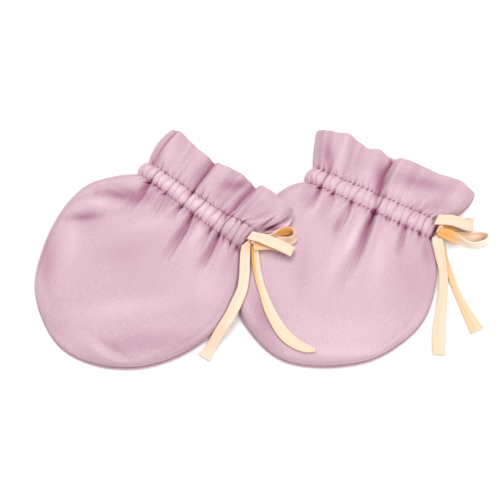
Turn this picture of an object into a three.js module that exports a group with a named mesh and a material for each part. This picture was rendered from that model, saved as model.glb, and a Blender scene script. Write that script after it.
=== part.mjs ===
// A pair of satin baby mittens laid flat, the left one's frill resting on the right one's edge.
// Each mitten is a front and a back cut panel, a gathered casing, a frill and a tied drawstring.
// Millimetres, +Z up. The origin is on the ground under the middle of the cloth.
// A mitten's own frame: across runs along the casing, along runs from the lower row of
// stitching towards the frill (+) and towards the fingertips (-).
import * as THREE from "three";

// Cloth
const clothWall = 1.2;
const seamGap = 0.3;
const seamTop = 2 * clothWall + seamGap;
const edgeRoll = 6;
const steepestWall = 1.5;

// The back's rim stands out past the front's seam round the body
const backRim = 0.9;
const bodyHalf = 43;

// Casing: the drawstring runs inside, so its front is thicker over a plain inner side
const casingInner = 2.0;
const gatherFadeBody = 3.5;
const gatherFadeFrill = 0.45;

// Frill: its waves start at the casing with this share of their rise, and the back follows them
const waveStart = 0.3;
const backFollows = 0.7;
const farFromTip = 90;

// Drawstring: a flat pressed tube of satin
const ribbonThick = 1.0;
const knotPower = 3.4;

// Height of the front over the seam along the mitten
const crownRows = [
  { along: -90, crown: 2.3 },
  { along: -45, crown: 2.5 },
  { along: -12, crown: 2.8 },
  { along: -4, crown: 2.9 },
  { along: 0, crown: 2.1 },
  { along: 4, crown: 4.0 },
  { along: 8, crown: 2.2 },
  { along: 12, crown: 2.7 },
  { along: 30, crown: 2.9 },
];

// How a mitten's rows are spread: frill from its edge to the casing, casing, body to the tip
const frillRows = [1, 0.8, 0.58, 0.36, 0.16];
const casingRows = [1, 0.5, 0];
const bodyRows = [0.05, 0.13, 0.24, 0.37, 0.5, 0.63, 0.76, 0.87, 0.95, 1];
const backBodyRows = [0.15, 0.35, 0.55, 0.75, 0.9, 1];
const backColumns = 22;

const satin = new THREE.MeshStandardMaterial({ color: 0xdcbccb, roughness: 0.42, metalness: 0 });
const satinBack = new THREE.MeshStandardMaterial({ color: 0xc6a4bb, roughness: 0.45, metalness: 0 });
const ribbonSatin = new THREE.MeshStandardMaterial({ color: 0xfbe5c6, roughness: 0.4, metalness: 0 });

const leftMitten = {
  name: "left",
  middle: { x: -30.3, y: 16.2, turn: -39.2 },
  casingHalf: 30.1,
  casingWidth: { left: 7.2, right: 9.2 },
  casingBelly: 1.8,
  sideBelly: { left: 1.6, right: 2.2 },
  backBelly: { left: 1.6, right: 5.0 },
  corners: { left: 5, right: 9 },
  outline: [
    { across: -30.1, along: 0 },
    { across: -37.7, along: -7.9 },
    { across: -44, along: -18.1 },
    { across: -45.2, along: -31 },
    { across: -41, along: -48.5 },
    { across: -31, along: -67 },
    { across: -17, along: -77.6 },
    { across: -1, along: -82.2 },
    { across: 15, along: -78.4 },
    { across: 29, along: -68.6 },
    { across: 38.5, along: -55.3 },
    { across: 43.6, along: -40 },
    { across: 43.8, along: -25 },
    { across: 38.6, along: -11.5 },
    { across: 30.1, along: 0 },
  ],
  // Gathers of the casing: where the cloth dips across the casing, and how deep
  gathers: [
    { at: -27.8, deep: 0.9 },
    { at: -25.2, deep: 1.0 },
    { at: -22.4, deep: 1.7 },
    { at: -19.5, deep: 0.9 },
    { at: -16.8, deep: 1.1 },
    { at: -13.6, deep: 1.4 },
    { at: -10.5, deep: 0.9 },
    { at: -7.3, deep: 1.2 },
    { at: -4.0, deep: 1.6 },
    { at: -0.8, deep: 1.0 },
    { at: 2.7, deep: 1.8 },
    { at: 6.2, deep: 1.1 },
    { at: 9.6, deep: 1.3 },
    { at: 13.2, deep: 1.5 },
    { at: 17.4, deep: 1.9 },
    { at: 20.9, deep: 1.2 },
    { at: 24.0, deep: 1.5 },
    { at: 27.2, deep: 1.1 },
  ],
  // The frill's waves: place at the casing, then place and rise at the free edge
  waves: [
    { root: -30.1, across: -33.3, along: 24.5, rise: 0 },
    { root: -27.5, across: -31.2, along: 25.7, rise: 1.6 },
    { root: -23.6, across: -27.3, along: 26.6, rise: 2.4 },
    { root: -17.4, across: -20.9, along: 26.2, rise: -0.6 },
    { root: -14, across: -15.5, along: 25.2, rise: 1.4 },
    { root: -9, across: -9.9, along: 25.2, rise: 1.2 },
    { root: -4.8, across: -6.9, along: 25.4, rise: -2.5 },
    { root: -2.2, across: -3.6, along: 25.8, rise: 1.6 },
    { root: 3, across: 2.1, along: 27, rise: 2.2 },
    { root: 8.4, across: 7.3, along: 28.5, rise: -0.8 },
    { root: 11.8, across: 12.8, along: 27.1, rise: 1 },
    { root: 15, across: 16.2, along: 26.8, rise: -2.6 },
    { root: 17.6, across: 19.2, along: 28, rise: 2.2 },
    { root: 20.8, across: 23.4, along: 28.5, rise: 0.2 },
    { root: 25, across: 29.9, along: 27.4, rise: 1.2 },
    { root: 28.4, across: 35.4, along: 26.8, rise: 0.6 },
    { root: 30.1, across: 37.5, along: 27.1, rise: 0 },
  ],
  // Folds that run from the casing down the body: start, end, reach, depth and width
  folds: [
    { at: -22.4, to: -20.5, reach: 24, deep: 1.6, wide: 1.7 },
    { at: -13.6, to: -10.2, reach: 15, deep: 1.0, wide: 1.3 },
    { at: -4.0, to: -3.0, reach: 12, deep: 1.1, wide: 1.2 },
    { at: 2.7, to: 8.6, reach: 30, deep: 1.6, wide: 1.5 },
    { at: 13.2, to: 16.2, reach: 15, deep: 1.0, wide: 1.3 },
    { at: 17.4, to: 23.4, reach: 22, deep: 1.5, wide: 1.4 },
    { at: 27.2, to: 31.5, reach: 8, deep: 0.7, wide: 1.1 },
  ],
  // Soft hollows and swellings of the body: place, size, turn in degrees and height
  swells: [
    { across: -38.5, along: -19, long: 9, wide: 3.0, turn: 58, high: -0.9 },
    { across: -30, along: -12.5, long: 8, wide: 3.2, turn: 10, high: -0.9 },
    { across: -33, along: -24, long: 9, wide: 4.5, turn: 30, high: 0.8 },
    { across: -34, along: -34, long: 12, wide: 3.2, turn: 48, high: -0.7 },
    { across: 19, along: -70, long: 9, wide: 2.6, turn: 6, high: -0.8 },
  ],
  // The frill's right corner lies on the other mitten
  lift: { high: 6.8, from: 0.2, start: -1, end: 10 },
};

const rightMitten = {
  name: "right",
  middle: { x: 49.6, y: 17.1, turn: -27.4 },
  casingHalf: 30.8,
  casingWidth: { left: 7.6, right: 9.0 },
  casingBelly: 1.7,
  sideBelly: { left: 0.4, right: 2.8 },
  backBelly: { left: 0.4, right: 2.8 },
  corners: { left: 5, right: 9 },
  outline: [
    { across: -30.8, along: 0 },
    { across: -36.6, along: -5.5 },
    { across: -39.8, along: -14 },
    { across: -39.6, along: -29 },
    { across: -35.2, along: -48 },
    { across: -30, along: -66.6 },
    { across: -17, along: -75.8 },
    { across: -2, along: -79 },
    { across: 14, along: -73.8 },
    { across: 29.5, along: -63 },
    { across: 38.5, along: -50 },
    { across: 43, along: -36 },
    { across: 42, along: -22 },
    { across: 37.6, along: -9.5 },
    { across: 30.8, along: 0 },
  ],
  gathers: [
    { at: -28.6, deep: 0.9 },
    { at: -26.0, deep: 1.0 },
    { at: -23.0, deep: 1.6 },
    { at: -20.0, deep: 0.9 },
    { at: -16.6, deep: 1.4 },
    { at: -13.6, deep: 0.9 },
    { at: -10.6, deep: 1.0 },
    { at: -7.5, deep: 1.4 },
    { at: -4.2, deep: 0.9 },
    { at: -0.6, deep: 1.1 },
    { at: 3.5, deep: 2.0 },
    { at: 7.2, deep: 1.1 },
    { at: 10.8, deep: 1.2 },
    { at: 14.6, deep: 1.0 },
    { at: 18.2, deep: 1.5 },
    { at: 21.8, deep: 1.1 },
    { at: 25.2, deep: 1.4 },
    { at: 28.4, deep: 1.0 },
  ],
  waves: [
    { root: -30.8, across: -37.6, along: 25.3, rise: 0 },
    { root: -27.4, across: -34, along: 25.5, rise: 2 },
    { root: -23.4, across: -29.6, along: 27.1, rise: 0.4 },
    { root: -19.6, across: -23.1, along: 28.5, rise: 2.4 },
    { root: -15.4, across: -17.5, along: 28, rise: -1.4 },
    { root: -11, across: -13.1, along: 26.3, rise: 0.6 },
    { root: -6, across: -7.2, along: 27.7, rise: 2.4 },
    { root: -1.6, across: -2.6, along: 26.5, rise: 1.4 },
    { root: 1.1, across: -0.2, along: 27.8, rise: -2.6 },
    { root: 3.4, across: 3.6, along: 28.5, rise: 2.2 },
    { root: 7.6, across: 8.3, along: 29.4, rise: 1 },
    { root: 11.6, across: 13.3, along: 30.1, rise: -1.2 },
    { root: 16.4, across: 20.7, along: 29.1, rise: 1.6 },
    { root: 21.2, across: 27.1, along: 29.9, rise: 2 },
    { root: 24.8, across: 31.6, along: 30.8, rise: 0.6 },
    { root: 28.6, across: 36.7, along: 29.3, rise: 1.4 },
    { root: 30.8, across: 39.3, along: 29.6, rise: 0 },
  ],
  folds: [
    { at: -28.6, to: -28.0, reach: 7, deep: 0.7, wide: 1.1 },
    { at: -23.0, to: -22.6, reach: 16, deep: 1.3, wide: 1.3 },
    { at: -16.6, to: -15.0, reach: 16, deep: 1.0, wide: 1.8 },
    { at: -7.5, to: -7.0, reach: 22, deep: 1.1, wide: 1.4 },
    { at: 3.5, to: 7.2, reach: 42, deep: 1.8, wide: 1.9 },
    { at: 18.2, to: 22.0, reach: 16, deep: 1.0, wide: 1.3 },
    { at: 25.2, to: 28.0, reach: 10, deep: 0.7, wide: 1.1 },
  ],
  swells: [
    { across: -3, along: -28, long: 13, wide: 4.0, turn: 96, high: 0.7 },
    { across: 16, along: -22, long: 11, wide: 4.5, turn: 110, high: 0.5 },
    { across: -24, along: -34, long: 14, wide: 4.0, turn: 70, high: -0.5 },
  ],
  lift: { high: 0, from: 0.5, start: 0, end: 10 },
};

// Ribbon routes in the pair's frame. across and tilt aim the ribbon's width, in degrees:
// across is its heading in plan and tilt its climb. wide is its width there, about 4.4 where it
// lies at rest.
const ribbons = [
  {
    name: "left_tail_1",
    route: [
      { x: -4.9, y: -2.6, z: 7, across: -6, tilt: 0, wide: 4 },
      { x: -5.1, y: -4.9, z: 6.2, across: -3, tilt: 0, wide: 4.5 },
      { x: -5.3, y: -9, z: 5.9, across: 0, tilt: 0, wide: 4.6 },
      { x: -5.5, y: -15.1, z: 5.9, across: -5, tilt: 2, wide: 4.5 },
      { x: -6.4, y: -21.5, z: 5.8, across: -14, tilt: 3, wide: 4.8 },
      { x: -8.7, y: -27.4, z: 5.5, across: -23, tilt: 2, wide: 4.9 },
      { x: -11.2, y: -32.7, z: 5.1, across: -29, tilt: 0, wide: 4.8 },
      { x: -14.2, y: -37.5, z: 4.5, across: -31, tilt: 0, wide: 4.6 },
      { x: -17.4, y: -42.2, z: 2.5, across: -29, tilt: 0, wide: 4.4 },
      { x: -20.1, y: -47.1, z: 0.9, across: -28, tilt: 0, wide: 4.4 },
      { x: -22.4, y: -50.8, z: 0.7, across: -31, tilt: 0, wide: 5.8 },
    ],
  },
  {
    name: "left_tail_2",
    route: [
      { x: -0.9, y: -4.1, z: 6.5, across: 4, tilt: 4, wide: 3.2 },
      { x: -0.6, y: -8.2, z: 6.2, across: 6, tilt: 8, wide: 3.6 },
      { x: 0, y: -12.8, z: 6, across: 9, tilt: 6, wide: 3.4 },
      { x: 1.1, y: -17.9, z: 5.9, across: 13, tilt: 2, wide: 3.4 },
      { x: 3, y: -24.3, z: 5.9, across: 17, tilt: 0, wide: 3.7 },
      { x: 5.2, y: -30.7, z: 5.9, across: 21, tilt: 0, wide: 4.4 },
      { x: 8, y: -36.6, z: 5.9, across: 30, tilt: 0, wide: 5 },
      { x: 11.6, y: -42.2, z: 5.9, across: 44, tilt: 0, wide: 5.2 },
      { x: 16.3, y: -46.2, z: 5.9, across: 58, tilt: 0, wide: 4.9 },
      { x: 20.7, y: -48.3, z: 5.9, across: 70, tilt: 0, wide: 3.8 },
      { x: 24.5, y: -49.2, z: 5.9, across: 80, tilt: 0, wide: 1.5 },
    ],
  },
  {
    name: "left_loop_front",
    route: [
      { x: 0.4, y: -2.2, z: 7.7, across: 82, tilt: 0, wide: 4 },
      { x: 3.1, y: -1.8, z: 7.6, across: 84, tilt: 0, wide: 4.3 },
      { x: 6.1, y: -1.6, z: 7.5, across: 77, tilt: 0, wide: 4.6 },
      { x: 10.1, y: -2.5, z: 7.3, across: 69, tilt: 0, wide: 4.8 },
      { x: 13.8, y: -4, z: 7.3, across: 66, tilt: 0, wide: 4.8 },
      { x: 15.3, y: -5, z: 7.9, across: 66, tilt: 0, wide: 4.8 },
      { x: 14.2, y: -4.6, z: 8.7, across: 66, tilt: 0, wide: 4.8 },
      { x: 10.5, y: -2.7, z: 9, across: 67, tilt: 0, wide: 5 },
      { x: 6.1, y: -0.9, z: 9.3, across: 68, tilt: 0, wide: 5.2 },
      { x: 2.6, y: 0.4, z: 9.7, across: 69, tilt: 0, wide: 4.9 },
      { x: 0.6, y: 0.9, z: 9.9, across: 70, tilt: 0, wide: 4.2 },
    ],
  },
  {
    name: "left_loop_rear",
    route: [
      { x: 1.3, y: 2.2, z: 7.9, across: 84, tilt: 66, wide: 2 },
      { x: 3.5, y: 2.4, z: 7.8, across: 86, tilt: 72, wide: 2 },
      { x: 6.2, y: 2.7, z: 7.8, across: 92, tilt: 74, wide: 2.3 },
      { x: 9.2, y: 3.6, z: 8, across: 98, tilt: 68, wide: 4 },
      { x: 12.8, y: 4.8, z: 7.8, across: 96, tilt: 54, wide: 4.4 },
      { x: 15.7, y: 4.2, z: 7.7, across: 50, tilt: 72, wide: 4.4 },
      { x: 16.5, y: 2.1, z: 7.5, across: 2, tilt: 116, wide: 4.6 },
      { x: 14.9, y: 0.5, z: 7.2, across: -52, tilt: 128, wide: 4.8 },
      { x: 11.9, y: 0.4, z: 6.6, across: -78, tilt: 152, wide: 4.2 },
      { x: 7.9, y: 1.3, z: 6.2, across: -96, tilt: 178, wide: 3.4 },
      { x: 4.4, y: 2.3, z: 6.1, across: -96, tilt: 178, wide: 3 },
      { x: 1.6, y: 2.8, z: 6.1, across: -96, tilt: 178, wide: 2.6 },
    ],
  },
  {
    name: "right_tail_1",
    route: [
      { x: 79.4, y: 2.9, z: 4.9, across: 12, tilt: 0, wide: 4.4 },
      { x: 79.9, y: -1.6, z: 5, across: 9, tilt: 0, wide: 4.8 },
      { x: 80.7, y: -6.7, z: 3.7, across: 11, tilt: 0, wide: 4.5 },
      { x: 81.5, y: -11.1, z: 2.3, across: 8, tilt: 0, wide: 3.7 },
      { x: 81.6, y: -15.8, z: 1.7, across: 1, tilt: 0, wide: 3.9 },
      { x: 81.1, y: -21.6, z: 1, across: -4, tilt: 0, wide: 4.2 },
      { x: 80.2, y: -28, z: 0.7, across: -6, tilt: 0, wide: 4.5 },
      { x: 79.1, y: -34.4, z: 0.7, across: -5, tilt: 0, wide: 5.2 },
      { x: 78.2, y: -41.2, z: 0.7, across: -3, tilt: 0, wide: 5.8 },
      { x: 77.7, y: -49, z: 0.7, across: 0, tilt: 0, wide: 5.6 },
    ],
  },
  {
    name: "right_tail_2",
    route: [
      { x: 82.4, y: -0.6, z: 1.4, across: 8, tilt: 0, wide: 2.4 },
      { x: 83.1, y: -5.2, z: 0.9, across: 11, tilt: 0, wide: 2.7 },
      { x: 84.2, y: -10.1, z: 0.7, across: 16, tilt: 0, wide: 3 },
      { x: 85.7, y: -15.5, z: 0.7, across: 18, tilt: 0, wide: 3 },
      { x: 87.7, y: -22.2, z: 0.7, across: 21, tilt: 0, wide: 3.2 },
      { x: 90.2, y: -28.4, z: 0.7, across: 25, tilt: 0, wide: 4 },
      { x: 92.6, y: -33.9, z: 0.7, across: 28, tilt: 0, wide: 5.2 },
      { x: 94.8, y: -38.5, z: 0.7, across: 32, tilt: 0, wide: 6.4 },
    ],
  },
  {
    name: "right_loop_upper",
    route: [
      { x: 83.4, y: 8, z: 2.6, across: 94, tilt: 0, wide: 3.2 },
      { x: 86.5, y: 9, z: 1.9, across: 92, tilt: 0, wide: 3.6 },
      { x: 90.2, y: 10.1, z: 1.5, across: 90, tilt: 0, wide: 4.2 },
      { x: 93.6, y: 11.5, z: 1.5, across: 86, tilt: 0, wide: 4.8 },
      { x: 95.7, y: 10.3, z: 2.8, across: 84, tilt: 0, wide: 5 },
      { x: 93.8, y: 8.6, z: 4.8, across: 84, tilt: 0, wide: 5 },
      { x: 90.3, y: 9.5, z: 5.8, across: 86, tilt: 0, wide: 5.2 },
      { x: 86.3, y: 10.6, z: 6.4, across: 90, tilt: 0, wide: 5.4 },
      { x: 82.9, y: 10.7, z: 6.6, across: 94, tilt: 0, wide: 5 },
    ],
  },
  {
    name: "right_loop_lower",
    route: [
      { x: 82.5, y: 4.4, z: 6.2, across: 74, tilt: 14, wide: 4.5 },
      { x: 85.1, y: 3.5, z: 5.7, across: 72, tilt: 26, wide: 5 },
      { x: 88.3, y: 2.1, z: 4.5, across: 72, tilt: 52, wide: 4.8 },
      { x: 91.7, y: 1.1, z: 3.2, across: 74, tilt: 80, wide: 4.6 },
      { x: 95.3, y: 0.4, z: 2.8, across: 82, tilt: 84, wide: 4.6 },
      { x: 98.8, y: 0.7, z: 2.7, across: 108, tilt: 80, wide: 4.6 },
      { x: 101.8, y: 2.3, z: 2.7, across: 165, tilt: 80, wide: 4.6 },
      { x: 101.7, y: 4.5, z: 2.5, across: 232, tilt: 108, wide: 4.6 },
      { x: 98.2, y: 4.8, z: 2, across: 262, tilt: 138, wide: 4.6 },
      { x: 94.2, y: 4.6, z: 1.8, across: 266, tilt: 148, wide: 4.4 },
      { x: 90.2, y: 4.9, z: 1.6, across: 268, tilt: 156, wide: 4 },
      { x: 86.7, y: 5.3, z: 1.6, across: 270, tilt: 160, wide: 3.4 },
    ],
  },
];

// Knots: the flat wrap that holds a bow's loops and tails together, along the casing's end
const knots = [
  { name: "left_knot", x: -1.4, y: 0.5, z: 8.4, long: 3.2, wide: 1, high: 2.5, turn: 73 },
  { name: "right_knot", x: 80.8, y: 6.8, z: 4.8, long: 3.1, wide: 1, high: 2.6, turn: 64 },
];

// Smooth step from 0 to 1
function ease(t) {
  const held = Math.min(Math.max(t, 0), 1);
  return held * held * (3 - 2 * held);
}

// Quarter circle from 0 at an edge to 1 where the roll ends
function roundOff(t) {
  const held = Math.min(Math.max(t, 0), 1);
  return Math.sqrt(1 - (1 - held) ** 2);
}

// Interpolation down a table: one column read by another
function readTable(rows, by, value, column, shape = (t) => t) {
  const last = rows.length - 1;
  if (value <= rows[0][by]) return rows[0][column];
  if (value >= rows[last][by]) return rows[last][column];
  const after = rows.findIndex((row) => row[by] >= value);
  const before = rows[after - 1];
  const share = (value - before[by]) / (rows[after][by] - before[by]);
  return before[column] + (rows[after][column] - before[column]) * shape(share);
}

// Smooth curve through a table's rows: place counts rows from 0
function curveAt(rows, column, place) {
  const last = rows.length - 1;
  const row = Math.min(Math.floor(place), last - 1);
  const t = place - row;
  const near = (step) => rows[Math.min(Math.max(row + step, 0), last)][column];
  const [a, b, c, d] = [-1, 0, 1, 2].map(near);
  const square = 2 * a - 5 * b + 4 * c - d;
  const cube = 3 * b - a - 3 * c + d;
  return 0.5 * (2 * b + (c - a) * t + square * t * t + cube * t * t * t);
}

// A body point's across or along: the casing line, the two sides and the tip, blended
function bodyPlan(mitten, column, share, down) {
  const { outline, corners, casingHalf } = mitten;
  const last = outline.length - 1;
  const casing = column === "across" ? casingHalf * (2 * share - 1) : 0;
  const left = curveAt(outline, column, corners.left * down);
  const right = curveAt(outline, column, last - (last - corners.right) * down);
  const tip = curveAt(outline, column, corners.left + (corners.right - corners.left) * share);
  const leftCorners = (1 - down) * outline[0][column] + down * outline[corners.left][column];
  const rightCorners = (1 - down) * outline[last][column] + down * outline[corners.right][column];
  const upright = (1 - down) * casing + down * tip;
  return upright + (1 - share) * (left - leftCorners) + share * (right - rightCorners);
}

function lengthOf(mitten) {
  return -Math.min(...mitten.outline.map((row) => row.along));
}

// Plan of one point of a panel, with its distances from the side seam and the tip.
// bulge is how far the frill's sides swell out between the casing and the free edge, and the
// casing's left end swells out by its own belly.
function planOf(mitten, share, row, bulge = mitten.sideBelly) {
  const { casingHalf, casingWidth, waves } = mitten;
  const sideShare = 1 - Math.abs(2 * share - 1);
  if (row.part === "body") {
    const across = bodyPlan(mitten, "across", share, row.at);
    const along = bodyPlan(mitten, "along", share, row.at);
    const left = bodyPlan(mitten, "across", 0, row.at);
    const right = bodyPlan(mitten, "across", 1, row.at);
    return { across, along, side: ((right - left) / 2) * sideShare, tip: lengthOf(mitten) * (1 - row.at) };
  }
  const root = casingHalf * (2 * share - 1);
  const width = casingWidth.left + (casingWidth.right - casingWidth.left) * share;
  const side = casingHalf * sideShare;
  if (row.part === "casing") {
    const out = 4 * row.at * (1 - row.at) * (1 - share) ** 6 * mitten.casingBelly;
    return { across: root - out, along: width * row.at, side, tip: farFromTip };
  }
  const edgeAcross = readTable(waves, "root", root, "across");
  const edgeAlong = readTable(waves, "root", root, "along", ease);
  const sideways = share ** 6 * bulge.right - (1 - share) ** 6 * bulge.left;
  const belly = 4 * row.at * (1 - row.at) * sideways;
  return {
    across: root + (edgeAcross - root) * row.at + belly,
    along: width + (edgeAlong - width) * row.at,
    side,
    tip: farFromTip,
  };
}

// How far a gather of the casing dips at a place across it
function gatherDip(gathers, root) {
  const last = gathers.length - 1;
  if (root < gathers[0].at || root > gathers[last].at) return 0;
  const rows = gathers.map((gather, index) => ({ ...gather, index }));
  const turns = readTable(rows, "at", root, "index");
  const deep = readTable(rows, "at", root, "deep");
  return deep * (0.5 + 0.5 * Math.cos(2 * Math.PI * turns));
}

// How much of the gathers and of the frill's waves shows along the mitten
function gatherShare(row, along) {
  if (row.part === "frill") return Math.max(0, 1 - row.at / gatherFadeFrill);
  return row.part === "casing" ? 1 : Math.exp(-((along / gatherFadeBody) ** 2));
}

function waveShare(row) {
  if (row.part === "frill") return waveStart + (1 - waveStart) * row.at;
  return row.part === "casing" ? waveStart * row.at : 0;
}

// A fold's trough with a soft ridge on either side, fading down its reach
function foldHeight(fold, across, along) {
  const down = -along / fold.reach;
  if (down <= 0 || down >= 1) return 0;
  const off = (across - fold.at - (fold.to - fold.at) * down) / (fold.wide * (0.7 + 0.7 * down));
  const trough = Math.exp(-off * off);
  const ridges = 0.4 * Math.exp(-((Math.abs(off) - 1.9) ** 2));
  return fold.deep * (1 - down) * Math.min(1, 0.4 + 5 * down) * (ridges - trough);
}

function swellHeight(swell, across, along) {
  const turn = THREE.MathUtils.degToRad(swell.turn);
  const x = across - swell.across;
  const y = along - swell.along;
  const lengthwise = (x * Math.cos(turn) + y * Math.sin(turn)) / swell.long;
  const crosswise = (y * Math.cos(turn) - x * Math.sin(turn)) / swell.wide;
  return swell.high * Math.exp(-(lengthwise ** 2) - crosswise ** 2);
}

// Where the left frill's corner lies on the other mitten
function liftOf(mitten, share, along) {
  const { high, from, start, end } = mitten.lift;
  return high * ease((2 * share - 1 - from) / (1 - from)) * ease((along - start) / (end - start));
}

// Heights of the front's outer side and of the back's lower side
function frontHeight(mitten, share, row, plan) {
  const root = mitten.casingHalf * (2 * share - 1);
  const side = roundOff(plan.side / edgeRoll);
  const roll = side * roundOff(plan.tip / edgeRoll);
  const crown = readTable(crownRows, "along", plan.along, "crown", ease);
  const dip = gatherDip(mitten.gathers, root) * gatherShare(row, plan.along);
  const wave = readTable(mitten.waves, "root", root, "rise", ease) * waveShare(row);
  const folds = mitten.folds
    .map((fold) => foldHeight(fold, plan.across, plan.along))
    .reduce((sum, height) => sum + height, 0);
  const swells = mitten.swells.map((swell) => swellHeight(swell, plan.across, plan.along));
  const swollen = swells.reduce((sum, height) => sum + height, 0);
  const cloth = roll * (crown + folds + swollen) + side * (wave - dip);
  return seamTop + cloth + liftOf(mitten, share, plan.along);
}

function backHeight(mitten, share, row, plan) {
  const root = mitten.casingHalf * (2 * share - 1);
  const wave = readTable(mitten.waves, "root", root, "rise", ease) * waveShare(row);
  const side = roundOff(plan.side / edgeRoll);
  return liftOf(mitten, share, plan.along) + backFollows * side * Math.max(0, wave);
}

// The steepness of a height field at one of its points, from its neighbours in the grid
function steepness(grid, row, column) {
  const hold = (index, count) => Math.min(Math.max(index, 0), count - 1);
  const pick = (r, c) => grid[hold(r, grid.length)][hold(c, grid[0].length)];
  const slope = (a, b) => (b.z - a.z) / Math.hypot(b.x - a.x, b.y - a.y);
  const along = slope(pick(row - 1, column), pick(row + 1, column));
  const across = slope(pick(row, column - 1), pick(row, column + 1));
  return Math.hypot(along, across);
}

function geometryOf(places, faces) {
  const geometry = new THREE.BufferGeometry();
  geometry.setAttribute("position", new THREE.Float32BufferAttribute(places, 3));
  geometry.setIndex(faces);
  geometry.computeVertexNormals();
  return geometry;
}

// A closed wall between two grids of points, upper and lower, with the same rows and columns.
// Cells of the left half are split the other way, so the outline's corner cells stay sound.
function wallSolid(upper, lower) {
  const rows = upper.length;
  const columns = upper[0].length;
  const places = [...upper.flat(), ...lower.flat()].flatMap((p) => [p.x, p.y, p.z]);
  const top = (r, c) => r * columns + c;
  const under = (r, c) => rows * columns + r * columns + c;
  const faces = [];
  for (let r = 0; r < rows - 1; r++) {
    for (let c = 0; c < columns - 1; c++) {
      const cell = [[r, c], [r + 1, c], [r + 1, c + 1], [r, c + 1]];
      const turned = c < columns / 2 ? [...cell.slice(1), cell[0]] : cell;
      const [a, b, d, e] = turned.map(([i, j]) => top(i, j));
      const [f, g, h, k] = turned.map(([i, j]) => under(i, j));
      faces.push(a, b, d, a, d, e, f, h, g, f, k, h);
    }
  }
  const rim = [];
  for (let c = 0; c < columns - 1; c++) rim.push([0, c]);
  for (let r = 0; r < rows - 1; r++) rim.push([r, columns - 1]);
  for (let c = columns - 1; c > 0; c--) rim.push([rows - 1, c]);
  for (let r = rows - 1; r > 0; r--) rim.push([r, 0]);
  rim.forEach(([r, c], index) => {
    const [nextRow, nextColumn] = rim[(index + 1) % rim.length];
    const [a, b] = [top(r, c), top(nextRow, nextColumn)];
    const [d, e] = [under(r, c), under(nextRow, nextColumn)];
    faces.push(a, b, e, a, e, d);
  });
  return geometryOf(places, faces);
}

// Shares of the width where the front's columns run: every gather's dip and crest
function frontShares(mitten) {
  const half = mitten.casingHalf;
  const dips = mitten.gathers.map((gather) => gather.at);
  const crests = dips.slice(1).map((dip, index) => (dip + dips[index]) / 2);
  const sides = [-half, -half + 0.8, half - 0.8, half];
  return [...sides, ...dips, ...crests].sort((a, b) => a - b).map((x) => (x / half + 1) / 2);
}

function rowsOf(body) {
  return [
    ...frillRows.map((at) => ({ part: "frill", at })),
    ...casingRows.map((at) => ({ part: "casing", at })),
    ...body.map((at) => ({ part: "body", at })),
  ];
}

function frontPanel(mitten) {
  const rows = rowsOf(bodyRows);
  const shares = frontShares(mitten);
  const upper = rows.map((row) =>
    shares.map((share) => {
      const plan = planOf(mitten, share, row);
      return { x: plan.across, y: plan.along, z: frontHeight(mitten, share, row, plan) };
    }),
  );
  const lower = rows.map((row, r) =>
    shares.map((share, c) => {
      const { x, y, z } = upper[r][c];
      const plan = planOf(mitten, share, row);
      const lift = liftOf(mitten, share, plan.along);
      if (row.part === "casing") return { x, y, z: Math.max(casingInner, clothWall + seamGap) + lift };
      const wall = clothWall * Math.min(Math.hypot(1, steepness(upper, r, c)), steepestWall);
      const back = backHeight(mitten, share, row, plan) + clothWall + seamGap;
      return { x, y, z: Math.max(z - wall, back) };
    }),
  );
  return new THREE.Mesh(wallSolid(upper, lower), satin);
}

// The back lies flat and its rim stands out a little past the front's seam at the body
function backPanel(mitten) {
  const rows = rowsOf(backBodyRows);
  const shares = Array.from({ length: backColumns + 1 }, (unused, index) => index / backColumns);
  const centre = -0.5 * lengthOf(mitten);
  const lower = rows.map((row) =>
    shares.map((share) => {
      const plan = planOf(mitten, share, row, mitten.backBelly);
      const spread = row.part === "body" ? 1 + (backRim / bodyHalf) * ease(2 * row.at) : 1;
      const y = centre + (plan.along - centre) * spread;
      return { x: plan.across * spread, y, z: backHeight(mitten, share, row, plan) };
    }),
  );
  const upper = lower.map((row) => row.map((p) => ({ ...p, z: p.z + clothWall })));
  return new THREE.Mesh(wallSolid(upper, lower), satinBack);
}

// Half of a ribbon's section, as shares of its width and thickness; the other half mirrors it
const ribbonEdge = [
  { width: -0.5, face: -0.2 },
  { width: -0.42, face: -0.5 },
  { width: 0.42, face: -0.5 },
  { width: 0.5, face: -0.2 },
];
const ribbonBack = ribbonEdge.map(({ width, face }) => ({ width: -width, face: -face }));
const ribbonSection = [...ribbonEdge, ...ribbonBack];

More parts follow.
